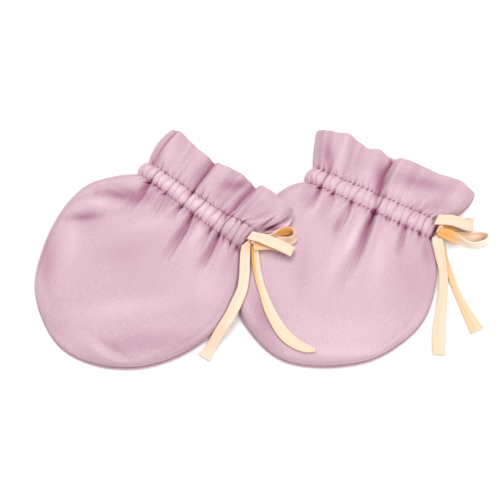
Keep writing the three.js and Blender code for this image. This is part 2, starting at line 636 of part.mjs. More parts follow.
// A flat ribbon: its section carried along its route
function ribbonSolid({ route }) {
  const steps = 2 * (route.length - 1);
  const columns = ["x", "y", "z"];
  const at = (place) => new THREE.Vector3(...columns.map((column) => curveAt(route, column, place)));
  const places = [];
  for (let step = 0; step <= steps; step++) {
    const place = (step / steps) * (route.length - 1);
    const middle = at(place);
    const before = at(Math.max(place - 0.05, 0));
    const tangent = at(Math.min(place + 0.05, route.length - 1)).sub(before).normalize();
    const heading = THREE.MathUtils.degToRad(curveAt(route, "across", place));
    const tilt = THREE.MathUtils.degToRad(curveAt(route, "tilt", place));
    const level = Math.cos(tilt);
    const width = new THREE.Vector3(level * Math.cos(heading), level * Math.sin(heading), Math.sin(tilt));
    width.addScaledVector(tangent, -width.dot(tangent)).normalize();
    const face = new THREE.Vector3().crossVectors(tangent, width);
    const wide = curveAt(route, "wide", place);
    for (const corner of ribbonSection) {
      const point = middle.clone().addScaledVector(width, corner.width * wide);
      point.addScaledVector(face, corner.face * ribbonThick);
      places.push(point.x, point.y, point.z);
    }
  }
  const sides = ribbonSection.length;
  const faces = [];
  for (let step = 0; step < steps; step++) {
    for (let side = 0; side < sides; side++) {
      const next = (side + 1) % sides;
      const [a, b] = [step * sides + side, step * sides + next];
      faces.push(a, b, b + sides, a, b + sides, a + sides);
    }
  }
  const end = steps * sides;
  for (let side = 1; side < sides - 1; side++) {
    faces.push(0, side + 1, side, end, end + side, end + side + 1);
  }
  return geometryOf(places, faces);
}

// A knot: a ball squared off until its sides are nearly flat
function knotMesh({ name, x, y, z, long, wide, high, turn }) {
  const geometry = new THREE.SphereGeometry(1, 16, 10);
  const places = geometry.getAttribute("position");
  for (let index = 0; index < places.count; index++) {
    const point = new THREE.Vector3().fromBufferAttribute(places, index);
    const powers = point.toArray().reduce((sum, side) => sum + Math.abs(side) ** knotPower, 0);
    point.multiplyScalar(powers ** (-1 / knotPower));
    places.setXYZ(index, point.x, point.y, point.z);
  }
  const mesh = new THREE.Mesh(geometry, ribbonSatin);
  mesh.name = name;
  mesh.scale.set(long, wide, high);
  mesh.rotation.z = THREE.MathUtils.degToRad(turn);
  mesh.position.set(x, y, z);
  return mesh;
}

const pair = new THREE.Group();
for (const mitten of [leftMitten, rightMitten]) {
  const placed = new THREE.Group();
  placed.position.set(mitten.middle.x, mitten.middle.y, 0);
  placed.rotation.z = THREE.MathUtils.degToRad(mitten.middle.turn);
  const front = frontPanel(mitten);
  front.name = `${mitten.name}_front`;
  const back = backPanel(mitten);
  back.name = `${mitten.name}_back`;
  placed.add(front, back);
  pair.add(placed);
}
for (const ribbon of ribbons) {
  const mesh = new THREE.Mesh(ribbonSolid(ribbon), ribbonSatin);
  mesh.name = ribbon.name;
  pair.add(mesh);
}
for (const knot of knots) pair.add(knotMesh(knot));

export default pair;
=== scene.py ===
# A pair of satin baby mittens laid flat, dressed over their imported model.
# Cloth is worked out in millimetres in each mitten's own frame: across runs along the casing,
# along runs towards the frill (+) and the fingertips (-). Meshes and routes are in metres.
import math
import bpy
import numpy as np
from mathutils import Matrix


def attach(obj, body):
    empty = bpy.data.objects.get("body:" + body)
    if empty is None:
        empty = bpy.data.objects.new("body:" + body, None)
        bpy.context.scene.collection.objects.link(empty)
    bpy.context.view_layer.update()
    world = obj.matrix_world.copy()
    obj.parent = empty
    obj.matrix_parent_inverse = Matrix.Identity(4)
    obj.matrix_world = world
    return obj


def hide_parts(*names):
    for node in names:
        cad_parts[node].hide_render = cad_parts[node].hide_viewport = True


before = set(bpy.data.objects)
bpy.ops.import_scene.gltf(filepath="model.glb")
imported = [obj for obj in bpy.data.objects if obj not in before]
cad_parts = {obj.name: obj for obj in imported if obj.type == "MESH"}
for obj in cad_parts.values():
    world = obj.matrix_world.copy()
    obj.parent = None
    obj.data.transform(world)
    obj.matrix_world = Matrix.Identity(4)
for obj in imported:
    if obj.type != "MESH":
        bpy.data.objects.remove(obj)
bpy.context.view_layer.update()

mm = 0.001
print("frame loaded")

cameraLook = {"lens": 85, "sensor": 36, "place": (-0.00305, -0.1972, 0.4856), "downTilt": 68}
camera = bpy.data.objects.new("camera", bpy.data.cameras.new("camera"))
camera.data.lens = cameraLook["lens"]
camera.data.sensor_width = cameraLook["sensor"]
camera.location = cameraLook["place"]
camera.rotation_euler = (math.radians(90 - cameraLook["downTilt"]), 0, 0)
bpy.context.collection.objects.link(camera)
bpy.context.scene.camera = camera
print("camera placed")


# Smooth step: 3t^2 - 2t^3 between 0 and 1
def ease(t):
    held = np.clip(t, 0, 1)
    return held * held * (3 - 2 * held)


# Quarter circle: the square root of 1 - (1 - t)^2
def roundOff(t):
    return np.sqrt(1 - (1 - np.clip(t, 0, 1)) ** 2)


# Bell: e to the power -(t^2)
def bell(t):
    return np.exp(-(t * t))


# Interpolation down a table's column, with the smooth step between its rows
def easedTable(places, values, at):
    row = np.clip(np.searchsorted(places, at, side="right") - 1, 0, len(places) - 2)
    share = (at - places[row]) / (places[row + 1] - places[row])
    return values[row] + (values[row + 1] - values[row]) * ease(share)


# Smooth curve through a table's rows by their number: a uniform Catmull-Rom cubic
def curveAt(values, place):
    last = len(values) - 1
    row = np.clip(np.floor(place).astype(int), 0, last - 1)
    t = place - row
    a, b, c, d = (values[np.clip(row + step, 0, last)] for step in (-1, 0, 1, 2))
    square = 2 * a - 5 * b + 4 * c - d
    cube = 3 * b - a - 3 * c + d
    return 0.5 * (2 * b + (c - a) * t + square * t * t + cube * t ** 3)


# Every vector divided by its length
def unit(vectors):
    return vectors / np.linalg.norm(vectors, axis=-1, keepdims=True)


# A mesh object from arrays, with smooth faces turned outwards and named point attributes
def meshObject(name, points, quads, triangles, material, attributes):
    mesh = bpy.data.meshes.new(name)
    faces = quads.reshape(-1, 4).tolist() + triangles.reshape(-1, 3).tolist()
    mesh.from_pydata(points.reshape(-1, 3).tolist(), [], faces)
    mesh.polygons.foreach_set("use_smooth", np.ones(len(faces), bool))
    for key, values in attributes.items():
        single = values.size == len(mesh.vertices)
        kind, field = ("FLOAT", "value") if single else ("FLOAT_VECTOR", "vector")
        mesh.attributes.new(key, kind, "POINT").data.foreach_set(field, values.astype(np.float32).ravel())
    mesh.materials.append(material)
    mesh.update()
    piece = bpy.data.objects.new(name, mesh)
    bpy.context.collection.objects.link(piece)
    return piece


# Shader maths: a wire is a socket, and sums, differences and products of wires add Math nodes
class Wire:
    def __init__(self, tree, socket=None):
        self.tree = tree
        self.socket = socket

    # Any node, from its type, its settings, its sockets' values or links, and the output wanted
    def node(self, kind, settings=None, inputs=None, output=0):
        made = self.tree.nodes.new(kind)
        for key, value in (settings or {}).items():
            setattr(made, key, value)
        for key, value in (inputs or {}).items():
            if isinstance(value, Wire):
                self.tree.links.new(value.socket, made.inputs[key])
            else:
                made.inputs[key].default_value = value
        return Wire(self.tree, made.outputs[output] if made.outputs else None)

    def maths(self, operation, *values):
        return self.node("ShaderNodeMath", {"operation": operation}, dict(enumerate(values)))

    def held(self):  # kept between 0 and 1
        return self.node("ShaderNodeClamp", {}, {0: self})

    def mix(self, first, second):  # this wire is the share of the second colour
        kinds = {"data_type": "RGBA"}
        return self.node("ShaderNodeMix", kinds, {0: self, 6: first, 7: second}, 2)

    def __add__(self, other): return self.maths("ADD", self, other)
    def __radd__(self, other): return self.maths("ADD", other, self)
    def __sub__(self, other): return self.maths("SUBTRACT", self, other)
    def __mul__(self, other): return self.maths("MULTIPLY", self, other)


def startMaterial(name):
    material = bpy.data.materials.new(name)
    material.use_nodes = True
    material.node_tree.nodes.clear()
    return material, Wire(material.node_tree)


def attribute(wire, name, output="Fac"):
    return wire.node("ShaderNodeAttribute", {"attribute_name": name}, {}, output)


def noise(wire, where, scale, detail=2):
    return wire.node("ShaderNodeTexNoise", {}, {"Vector": where, "Scale": scale, "Detail": detail})


# A point array stretched along its three directions
def stretched(wire, where, amounts):
    return wire.node("ShaderNodeVectorMath", {"operation": "MULTIPLY"}, {0: where, 1: amounts})


# The closing shader: constants sit on their own sockets, and the surface comes from the wires
def closeMaterial(wire, colour, roughness, bump, look):
    height = wire.node("ShaderNodeBump", {}, {
        "Strength": look["bump"], "Distance": look["bumpDeep"], "Height": bump})
    constants = {
        "IOR": 1.45, "Specular IOR Level": look["gloss"], "Sheen Weight": look["sheen"],
        "Sheen Roughness": 0.45, "Sheen Tint": (*look["sheenTint"], 1),
    }
    shader = wire.node("ShaderNodeBsdfPrincipled", {}, {
        "Base Color": colour, "Roughness": roughness, "Normal": height, **constants})
    wire.node("ShaderNodeOutputMaterial", {}, {"Surface": shader})


# Satin: a light cloth with soft clouds and fine grain, and long floats of thread. Painted light
# and shade on soft areas: above 0 it turns the cloth duskier with painted shade, and below 0 it
# makes it glow with a painted highlight. Painted shade in the hollows takes it to rose by half way,
# then to deep. The cloth attribute holds the place on the flat cloth in millimetres.
def satinMaterial(name, look):
    material, wire = startMaterial(name)
    cloth = attribute(wire, "cloth", "Vector")
    paintedShade, paintedLightShade = attribute(wire, "paintedShade"), attribute(wire, "paintedLightShade")
    clouds = noise(wire, wire.node("ShaderNodeTexCoord", {}, {}, "Object"), look["cloudScale"], 3)
    mottle = noise(wire, stretched(wire, cloth, (0.9, 2.4, 1)), look["mottleScale"], 2)
    floats = noise(wire, stretched(wire, cloth, (5.5, 0.8, 1)), look["threadScale"], 1)
    rows = noise(wire, stretched(wire, cloth, (0.5, 4.5, 1)), look["threadScale"], 1)
    grain = noise(wire, cloth, look["grainScale"], 3)
    soft = (clouds - 0.5) * 0.9 + 0.5 + (mottle - 0.5) * 0.5 + (grain - 0.5) * look["grain"]
    plain = soft.held().mix((*look["light"], 1), (*look["mid"], 1))
    # painted light and shade of the soft areas, then painted shade in the hollows
    paintedLit = (paintedLightShade * -1).held().mix(paintedLightShade.held().mix(plain, (*look["paintedDusk"], 1)), (*look["paintedGlow"], 1))
    folded = (paintedShade * 2).held().mix(paintedLit, (*look["rose"], 1))
    folded = (paintedShade * 2 - 1).held().mix(folded, (*look["deep"], 1))
    roughness = look["rough"] + (floats - 0.5) * 0.12 + paintedShade * 0.12
    closeMaterial(wire, folded, roughness, floats * 0.6 + rows * 0.4, look)
    return material


# Ribbon: cream satin with threads along its length. Its painted light and shade, above 0, is an
# orange that stands for light coming through the ribbon and for shade in its folds; below 0 it is
# a painted highlight, paler.
def ribbonMaterial(name, look):
    material, wire = startMaterial(name)
    cloth = attribute(wire, "cloth", "Vector")
    paintedWarmth = attribute(wire, "paintedWarmth")
    threads = noise(wire, stretched(wire, cloth, (6, 0.6, 1)), look["threadScale"], 2)
    slubs = noise(wire, stretched(wire, cloth, (1.2, 0.25, 1)), look["threadScale"], 2)
    plain = ((slubs - 0.5) * 1.2 + 0.5).held().mix((*look["light"], 1), (*look["mid"], 1))
    tint = (paintedWarmth * 2).held().mix(plain, (*look["paintedWarmth"], 1))
    tint = (paintedWarmth * -1).held().mix(tint, (*look["pale"], 1))
    colour = (paintedWarmth * 2 - 1).held().mix(tint, (*look["deep"], 1))
    closeMaterial(wire, colour, look["rough"] + (threads - 0.5) * 0.14, threads, look)
    return material


# Thread: a plain twist, with strands that run slantwise along each stitch
def threadMaterial(name, look):
    material, wire = startMaterial(name)
    cloth = attribute(wire, "cloth", "Vector")
    strands = noise(wire, stretched(wire, cloth, (3, 1.2, 1)), look["threadScale"], 2)
    colour = strands.held().mix((*look["light"], 1), (*look["mid"], 1))
    closeMaterial(wire, colour, look["rough"] + (strands - 0.5) * 0.1, strands, look)
    return material


# rose and deep are the colours of painted shade in hollows; dusk is painted shade and glow a painted
# highlight on soft areas
satinLook = {
    "light": (0.565, 0.395, 0.45), "mid": (0.47, 0.303, 0.366), "rose": (0.38, 0.15, 0.24),
    "deep": (0.13, 0.012, 0.05), "paintedDusk": (0.33, 0.145, 0.22), "paintedGlow": (0.72, 0.53, 0.595),
    "cloudScale": 42, "mottleScale": 0.9,
    "grain": 2.4, "grainScale": 1.5, "threadScale": 2.2,
    "rough": 0.36, "gloss": 0.42, "sheen": 0.2, "sheenTint": (1, 0.9, 0.96),
    "bump": 0.35, "bumpDeep": 0.00006,
}
# The back's satin is a lighter, pinker copy: painted light that lifts the back where it lies in shade
backLitLook = {**satinLook, "light": (0.6, 0.4, 0.46), "mid": (0.5, 0.31, 0.38)}
# warm and deep are the orange of painted light through the ribbon and of painted shade; pale is a painted
# highlight
ribbonLook = {
    "light": (0.81, 0.62, 0.5), "mid": (0.75, 0.55, 0.42), "paintedWarmth": (0.78, 0.44, 0.18),
    "deep": (0.66, 0.28, 0.03), "pale": (0.98, 0.86, 0.68),
    "threadScale": 1.6, "rough": 0.4, "gloss": 0.42, "sheen": 0.1, "sheenTint": (1, 0.95, 0.85),
    "bump": 0.4, "bumpDeep": 0.00008,
}
threadLook = {
    "light": (0.4, 0.15, 0.23), "mid": (0.26, 0.07, 0.13), "threadScale": 1.5, "rough": 0.5, "gloss": 0.4,
    "sheen": 0.1, "sheenTint": (1, 0.9, 0.95), "bump": 0.4, "bumpDeep": 0.00005,
}
satinFront = satinMaterial("satin front", satinLook)
satinBack = satinMaterial("satin back", backLitLook)
ribbonSatin = ribbonMaterial("ribbon satin", ribbonLook)
roseThread = threadMaterial("rose thread", threadLook)
print("materials made")


# Tubes: rings of points along each tube, closed by a fan at either end.
# rings holds tube, ring, corner, coordinate; every tube of a piece has the same counts.
def tubes(name, rings, material, attributes):
    count, length, sides = rings.shape[:3]
    points = np.concatenate([rings.reshape(count, -1, 3), rings[:, [0, -1]].mean(axis=2)], axis=1)
    ring = np.arange(length - 1)[:, None] * sides
    side = np.arange(sides)
    after = (side + 1) % sides
    quads = np.stack([ring + side, ring + after, ring + sides + after, ring + sides + side], axis=-1)
    head, tail = length * sides, length * sides + 1
    last = (length - 1) * sides
    fans = np.concatenate([
        np.stack([after, side, np.full(sides, head)], axis=-1),
        np.stack([last + side, last + after, np.full(sides, tail)], axis=-1)])
    offset = (np.arange(count) * (length * sides + 2))[:, None, None]
    carried = {}
    for key, values in attributes.items():
        ends = values[:, [0, -1]].mean(axis=2)
        whole = values.reshape(count, length * sides, -1)
        carried[key] = np.concatenate([whole, ends.reshape(count, 2, -1)], axis=1)
    return meshObject(name, points, quads.reshape(1, -1, 4) + offset, fans[None] + offset, material, carried)


leftMitten = {
    "name": "left",
    "place": (-30.3, 16.2), "turn": -39.2,
    "casingHalf": 30.1, "casingWidth": (7.2, 9.2),
    "casingBelly": 1.8, "sideBelly": (1.6, 2.2), "corners": (5, 9),
    "lift": {"high": 6.8, "start": 0.2, "from": -1, "to": 10},
    "outline": (  # across, along
        (-30.1, 0), (-37.7, -7.9), (-44, -18.1), (-45.2, -31), (-41, -48.5),
        (-31, -67), (-17, -77.6), (-1, -82.2), (15, -78.4), (29, -68.6),
        (38.5, -55.3), (43.6, -40), (43.8, -25), (38.6, -11.5), (30.1, 0),
    ),
    "gathers": (  # place on the casing, depth
        (-27.8, 0.7), (-25.2, 0.8), (-22.4, 1.65), (-19.5, 0.7), (-16.8, 0.85), (-13.6, 1.15),
        (-10.5, 0.7), (-7.3, 0.95), (-4, 1.5), (-0.8, 0.8), (2.7, 1.8), (6.2, 0.85),
        (9.6, 1.05), (13.2, 1.3), (17.4, 2), (20.9, 0.95), (24, 1.3), (27.2, 0.85),
    ),
    "waves": (  # place at the casing, then across, along and rise at the free edge
        (-30.1, -33.3, 24.5, 0), (-27.5, -31.2, 25.7, 1.6), (-23.6, -27.3, 26.6, 2.4),
        (-17.4, -20.9, 26.2, -0.6), (-14, -15.5, 25.2, 1.4), (-9, -9.9, 25.2, 1.2),
        (-4.8, -6.9, 25.4, -2.5), (-2.2, -3.6, 25.8, 1.6), (3, 2.1, 27, 2.2),
        (8.4, 7.3, 28.5, -0.8), (11.8, 12.8, 27.1, 1), (15, 16.2, 26.8, -2.6),
        (17.6, 19.2, 28, 2.2), (20.8, 23.4, 28.5, 0.2), (25, 29.9, 27.4, 1.2),
        (28.4, 35.4, 26.8, 0.6), (30.1, 37.5, 27.1, 0),
    ),
    # Painted shade in the pockets pinched at the lower stitches
    "pinchShades": (  # place at the lower stitches, how dark
        (-22.6, 1), (-19.6, 0.7), (-13.5, 0.9), (-3.5, 1), (1.2, 0.7), (4.5, 1), (11, 0.4),
        (18, 1), (20.3, 0.8), (23.9, 0.8), (28.1, 0.9), (30.1, 0.9),
    ),
    # Painted shade in the pockets pinched at the upper stitches
    "upperPinchShades": (  # the same at the upper stitches
        (-27.5, 0.8), (-20, 0.6), (-13.6, 0.5), (-4.2, 0.9), (2.7, 0.5), (15.6, 0.8), (24, 0.5),
    ),
    "folds": (  # start, end, reach, depth, width
        (-22.4, -20.5, 24, 1.6, 1.7), (-13.6, -10.2, 15, 1, 1.3),
        (-4, -3, 12, 1.1, 1.2), (2.7, 8.6, 30, 1.6, 1.5),
        (13.2, 16.2, 15, 1, 1.3), (17.4, 23.4, 22, 1.5, 1.4),
        (27.2, 31.5, 8, 0.7, 1.1),
    ),
    "swells": (  # across, along, long, wide, turn in degrees, height
        (-38.5, -19, 9, 3, 58, -0.9), (-30, -12.5, 8, 3.2, 10, -0.9),
        (-33, -24, 9, 4.5, 30, 0.8), (-34, -34, 12, 3.2, 48, -0.7),
        (19, -70, 9, 2.6, 6, -0.8),
    ),
    "backBelly": (1.6, 5.0),
    # Soft areas of painted light and shade: above 0 painted shade, below 0 a painted highlight
    "paintedLightShades": (  # across, along, long, wide, turn in degrees, how much darker
        (-27, -12.5, 11, 3.4, 30, 0.8), (-33.8, -32, 7.4, 2, 41, 0.7),
        (-31.9, -58.2, 4, 16, 39, 0.5), (-8.6, -33.1, 11.9, 4.5, 44, 0.16),
        (27.9, -57.1, 22.8, 5, 43, 0.38), (-9.4, -74.3, 5, 10.9, 69, 0.18),
        (-33.6, -23, 5.9, 3, 19, -0.25), (-30.5, -43.6, 3, 9.9, 39, -0.22),
        (-8.5, -15.1, 10.9, 3, 51, -0.25), (9.3, -51.4, 21.8, 4, 47, -0.25),
        (12.9, -72.8, 6.9, 2, 4, -0.3), (29.7, -23.5, 4.5, 6.9, 39, -0.18),
        (29.4, -8.1, 3, 7.9, 29, 0.3), (-27.2, 9.8, 2, 5.9, 11, 0.4),
        (-23.9, 17, 2.5, 5.9, 9, -0.2), (-9.2, 16.6, 2, 6.9, 9, 0.3),
        (8.8, 22.4, 6.4, 2.8, 45, 0.85), (8, 13.5, 5, 2.5, 69, 0.3),
        (6.5, 8.4, 2, 3, 39, -0.2), (18.8, 17.2, 4, 6.9, -11, 0.18),
        (24.5, 24.4, 4.5, 3, 19, -0.15), (28.9, 16.1, 5.9, 1.5, 64, 0.35),
        (4.9, -9.7, 7.4, 2, 89, 0.6), (20, -7.9, 7.9, 2.2, 96, 0.55),
        (-21.2, -5.3, 5, 2, 99, 0.6), (-9.4, -4.6, 4.5, 1.5, 97, 0.35),
        (10, -5.5, 5, 1.7, 91, -0.2), (0, -45, 46, 32, 90, 0.2), (0, 19, 38, 9, 0, 0.07),
        (36, 18, 6, 1.6, 70, -0.7), (0, 4, 34, 3, 0, -0.3), (-27.2, -1.9, 9, 4, 0, -0.2),
        (-30.2, -33.4, 8, 5, 39, 0.18), (32.3, -33.2, 14, 9, 39, 0.13),
        (11.8, -9, 8, 4, 84, -0.2), (-23, -72.7, 12, 3, -31, -0.32),
        (-2.1, -81.4, 14, 3, 4, -0.38),
    ),
    "creases": (  # width of its left and right flank, then across, along and depth down the line
        (1.6, 0.4, (-28.9, 26, 0.9), (-29.3, 20.3, 1.1), (-28.8, 14.2, 1.1), (-27.6, 10, 0.9),
         (-26.6, 7, 0.4)),
        (0.8, 0.8, (-14.7, 25.5, 0.15), (-14.2, 17, 0.3), (-13.8, 10, 0.45)),
        (1.7, 0.45, (-6.2, 25.5, 1.3), (-5.4, 17, 1.5), (-4.5, 8.4, 1.3), (-4.2, 4, 0.5)),
        (0.7, 0.4, (-2.4, 16, 0.05), (-1.3, 12, 0.4), (0.5, 7.4, 0.7)),
        (0.9, 0.5, (9.3, 14, 0.05), (9.4, 10, 0.4), (9.6, 7, 0.5)),
        (2.3, 0.5, (16.9, 27, 1.1), (15.6, 19, 1.3), (16.2, 12, 1.3), (15.4, 7.9, 1.0), (16.6, 3.5, 0.5)),
        (1.0, 0.5, (21.8, 26, 0.15), (20.9, 17.7, 0.45), (20.8, 10.7, 0.7), (20.9, 7.5, 0.5)),
        (0.6, 0.4, (25.8, 15, 0.1), (24.6, 11, 0.4), (24, 8, 0.6)),
        (0.55, 0.35, (31.6, 11.2, 0.5), (32.8, 13.6, 1.5), (33.9, 17.2, 1.2), (34.6, 20, 0.2)),
        (1.5, 0.45, (2.8, -0.4, 0.9), (6.2, -9.8, 0.9), (7.7, -20.3, 0.35), (8.2, -25, 0.05)),
        (1.2, 0.4, (18.2, -0.4, 0.9), (20.6, -8.5, 0.8), (22.2, -15.1, 0.3), (22.8, -18, 0.05)),
        (1.7, 0.5, (-22.3, -0.3, 1.0), (-21.2, -7.2, 0.6), (-21, -15, 0.1)),
        (1.2, 0.6, (-17, -0.3, 0.7), (-16.3, -6, 0.35), (-15.6, -12, 0.05)),
        (1.2, 0.5, (-11.7, -0.8, 0.6), (-10.6, -10.5, 0.15)),
        (0.9, 0.5, (-3.4, -0.6, 0.7), (-3.2, -8, 0.15)),
        (0.9, 0.5, (13.4, -0.4, 0.6), (15, -10, 0.1)),
        (0.7, 0.4, (27.6, -0.2, 0.6), (30.1, -6, 0.1)),
        (1.2, 0.7, (-39.6, -15.5, 0.1), (-38, -19.5, 0.45), (-35.9, -24, 0.05)),
    ),
    "mouth": {"start": 0.9, "pull": 0.6, "rise": 0.9},
    # Painted shade in the slits and the pocket of the frill's mouth, on the back's upper side
    "inside": (  # across, along, long, wide, turn in degrees, how dark
        (34.4, 15, 3.6, 0.75, 68, 1.3), (36.3, 16, 2.6, 0.35, 66, 0.8), (37.6, 22.6, 3.4, 1.1, 76, 0.42),
    ),
}

rightMitten = {
    "name": "right",
    "place": (49.6, 17.1), "turn": -27.4,
    "casingHalf": 30.8, "casingWidth": (7.6, 9),
    "casingBelly": 1.7, "sideBelly": (0.4, 2.8), "corners": (5, 9),
    "lift": {"high": 0, "start": 0.5, "from": 0, "to": 10},
    "outline": (  # across, along
        (-30.8, 0), (-36.6, -5.5), (-39.8, -14), (-39.6, -29), (-35.2, -48),
        (-30, -66.6), (-17, -75.8), (-2, -79), (14, -73.8), (29.5, -63),
        (38.5, -50), (43, -36), (42, -22), (37.6, -9.5), (30.8, 0),
    ),
    "gathers": (  # place on the casing, depth
        (-28.6, 0.7), (-26, 0.8), (-23, 1.5), (-20, 0.7), (-16.6, 1.15), (-13.6, 0.7),
        (-10.6, 0.8), (-7.5, 1.15), (-4.2, 0.7), (-0.6, 0.85), (3.5, 2.2), (7.2, 0.85),
        (10.8, 0.95), (14.6, 0.8), (18.2, 1.3), (21.8, 0.85), (25.2, 1.15), (28.4, 0.8),
    ),
    "waves": (  # place at the casing, then across, along and rise at the free edge
        (-30.8, -37.6, 25.3, 0), (-27.4, -34, 25.5, 2), (-23.4, -29.6, 27.1, 0.4),
        (-19.6, -23.1, 28.5, 2.4), (-15.4, -17.5, 28, -1.4), (-11, -13.1, 26.3, 0.6),
        (-6, -7.2, 27.7, 2.4), (-1.6, -2.6, 26.5, 1.4), (1.1, -0.2, 27.8, -2.6),
        (3.4, 3.6, 28.5, 2.2), (7.6, 8.3, 29.4, 1), (11.6, 13.3, 30.1, -1.2),
        (16.4, 20.7, 29.1, 1.6), (21.2, 27.1, 29.9, 2), (24.8, 31.6, 30.8, 0.6),
        (28.6, 36.7, 29.3, 1.4), (30.8, 39.3, 29.6, 0),
    ),
    # Painted shade in the pockets pinched at the upper stitches
    "upperPinchShades": (  # the same at the upper stitches
        (-28.5, 0.8), (-25.6, 0.7), (-20, 0.5), (-10.6, 0.4), (1.1, 1), (4.4, 0.8), (16.6, 0.4),
        (20.6, 0.6),
    ),
    # Painted shade in the pockets pinched at the lower stitches
    "pinchShades": (  # place at the lower stitches, how dark
        (-23.7, 0.8), (-17, 0.8), (-8.2, 0.9), (2.1, 1), (4.6, 1), (9.2, 0.8), (15, 0.9),
        (18.9, 0.8), (24.8, 1), (30.3, 0.9),
    ),
    "folds": (  # start, end, reach, depth, width
        (-28.6, -28, 7, 0.7, 1.1), (-23, -22.6, 16, 1.3, 1.3),
        (-16.6, -15, 16, 1, 1.8), (-7.5, -7, 22, 1.1, 1.4),
        (3.5, 7.2, 42, 1.8, 1.9), (18.2, 22, 16, 1, 1.3),
        (25.2, 28, 10, 0.7, 1.1),
    ),
    "swells": (  # across, along, long, wide, turn in degrees, height
        (-3, -28, 13, 4, 96, 0.7), (16, -22, 11, 4.5, 110, 0.5),
        (-24, -34, 14, 4, 70, -0.5),
    ),
    "backBelly": (0.4, 2.8),
    # Soft areas of painted light and shade: above 0 painted shade, below 0 a painted highlight
    "paintedLightShades": (  # across, along, long, wide, turn in degrees, how much darker
        (-13.7, -37.7, 3.5, 12.9, 23, 0.26), (-26.8, -8.3, 3, 4.5, 7, 0.35),
        (-21.7, -10.6, 2, 5.9, -1, -0.25), (-1.5, -29.8, 2.5, 12.9, 7, -0.32),
        (14.8, -19.3, 4, 12.9, 21, -0.2), (32.3, -22.8, 7.4, 14.9, 23, 0.22),
        (15.9, -57, 19.8, 7.9, 31, -0.18), (32.3, -7, 3, 6.9, 27, 0.25),
        (-19.7, -65.2, 4, 16.8, 51, 0.35), (-25.2, -29.3, 5.9, 6.9, 27, -0.12),
        (-27.9, 15.3, 3, 7.4, 23, 0.6), (-21, 17.7, 2, 7.9, 13, -0.3),
        (-13.2, 17.2, 2.5, 7.4, 7, 0.2), (-0.8, 15.2, 2.5, 7.9, 15, 1),
        (8.9, 13.5, 4, 3, 7, -0.3), (17.2, 22.3, 9.9, 3.4, 11, 0.6),
        (27.4, 14.8, 6.9, 2.5, 37, 0.25), (32.7, 21.4, 4, 3, -23, -0.2),
        (-7.2, 13, 2.5, 5, 12, -0.15), (4.5, -11.8, 11.9, 2, 98, 0.65),
        (20.2, -9, 7.9, 2, 110, 0.42), (-8.2, -14, 5.9, 1.5, 99, 0.4),
        (0.2, -17.2, 8.9, 2, 93, -0.45), (30.3, -6.9, 5.9, 2, 122, 0.2), (0, 20, 42, 9, 0, 0.13),
        (-18.5, -65.7, 6, 9, 27, 0.28), (-35.8, -38.6, 8, 5, 117, -0.4),
        (-12.2, -13.9, 6, 5, 27, 0.15), (-0.1, 25.1, 6, 5, 27, -0.25),
        (42.4, -41.5, 14, 3, 87, -0.3), (14.2, -67.7, 26, 3, 27, -0.25),
    ),
    "creases": (  # width of its left and right flank, then across, along and depth down the line
        (0.7, 0.5, (-30.6, 13, 0.1), (-29.6, 10.4, 0.5), (-28.6, 8, 0.6)),
        (1.0, 0.6, (-28.2, 19, 0.05), (-25.2, 15, 0.5), (-23.2, 9, 0.8), (-23, 4, 0.3)),
        (1.3, 0.8, (-17.8, 24, 0.1), (-16.4, 15.1, 0.35), (-15.6, 8.2, 0.5)),
        (1.0, 0.55, (-0.3, 26, 1.4), (-0.5, 17.6, 1.6), (1, 10.1, 1.4), (1.2, 6.5, 0.8), (3.2, 0.5, 0.8)),
        (0.6, 0.5, (4.6, 13, 0.1), (4.2, 10.5, 0.6), (4.4, 8.4, 0.3)),
        (0.9, 0.5, (20, 13.5, 0.05), (18.4, 10.5, 0.4), (16.4, 7.6, 0.5)),
        (0.9, 0.5, (26, 17.5, 0.05), (23, 12.5, 0.45), (20.6, 8.1, 0.6), (19.4, 3, 0.2)),
        (1.2, 0.6, (-27.4, 0, 0.5), (-27.2, -5.6, 0.1)),
        (1.5, 0.5, (-23, -0.2, 1.0), (-23, -6.9, 0.7), (-22.6, -13, 0.1)),
        (1.6, 0.9, (-16.6, -0.4, 0.5), (-15.2, -13, 0.1)),
        (1.2, 0.6, (-7.5, -0.4, 0.7), (-6.5, -10.3, 0.35), (-7.3, -19, 0.05)),
        (1.7, 0.6, (3.6, -0.2, 1.2), (3.6, -7.8, 1.0), (5.3, -17.7, 0.5), (6, -26.3, 0.3), (6.8, -40, 0.05)),
        (1.0, 0.6, (9.8, -0.3, 0.5), (10.8, -7, 0.1)),
        (1.2, 0.6, (18.2, -0.3, 0.8), (21.1, -13, 0.1)),
        (0.8, 0.5, (25.2, -0.2, 0.6), (27.1, -7, 0.1)),
    ),
    "mouth": {"start": 0.92, "pull": 0.3, "rise": 0.3},
    "inside": (),
}

# How the cloth is made in both mittens, in millimetres
cloth = {
    "wall": 0.75, "seamTop": 2.2, "backLevel": 1.2, "edgeRoll": 6, "gap": 0.3,
    "backRim": 0.4, "bodyHalf": 43, "backFollows": 0.7, "waveStart": 0.3,
    "gatherFadeBody": 3.4, "gatherFadeFrill": 0.27, "farFromTip": 90,
    "waveShown": 0.65, "creaseShown": 0.7, "stitchPitch": 2.15, "puckerDeep": 0.3, "puckerWide": 1,
    "rowGroove": 0.35, "liftedRoll": 0.5, "casingRoll": 2.2, "casingMiddle": 4, "backPucker": 0.12,
    "crown": (  # along, height over the seam
        (-90, 2.8), (-45, 3), (-12, 3.3), (-4, 3.4), (0, 2.9), (4, 3.5), (8, 3), (12, 3.2), (30, 3.4),
    ),
}

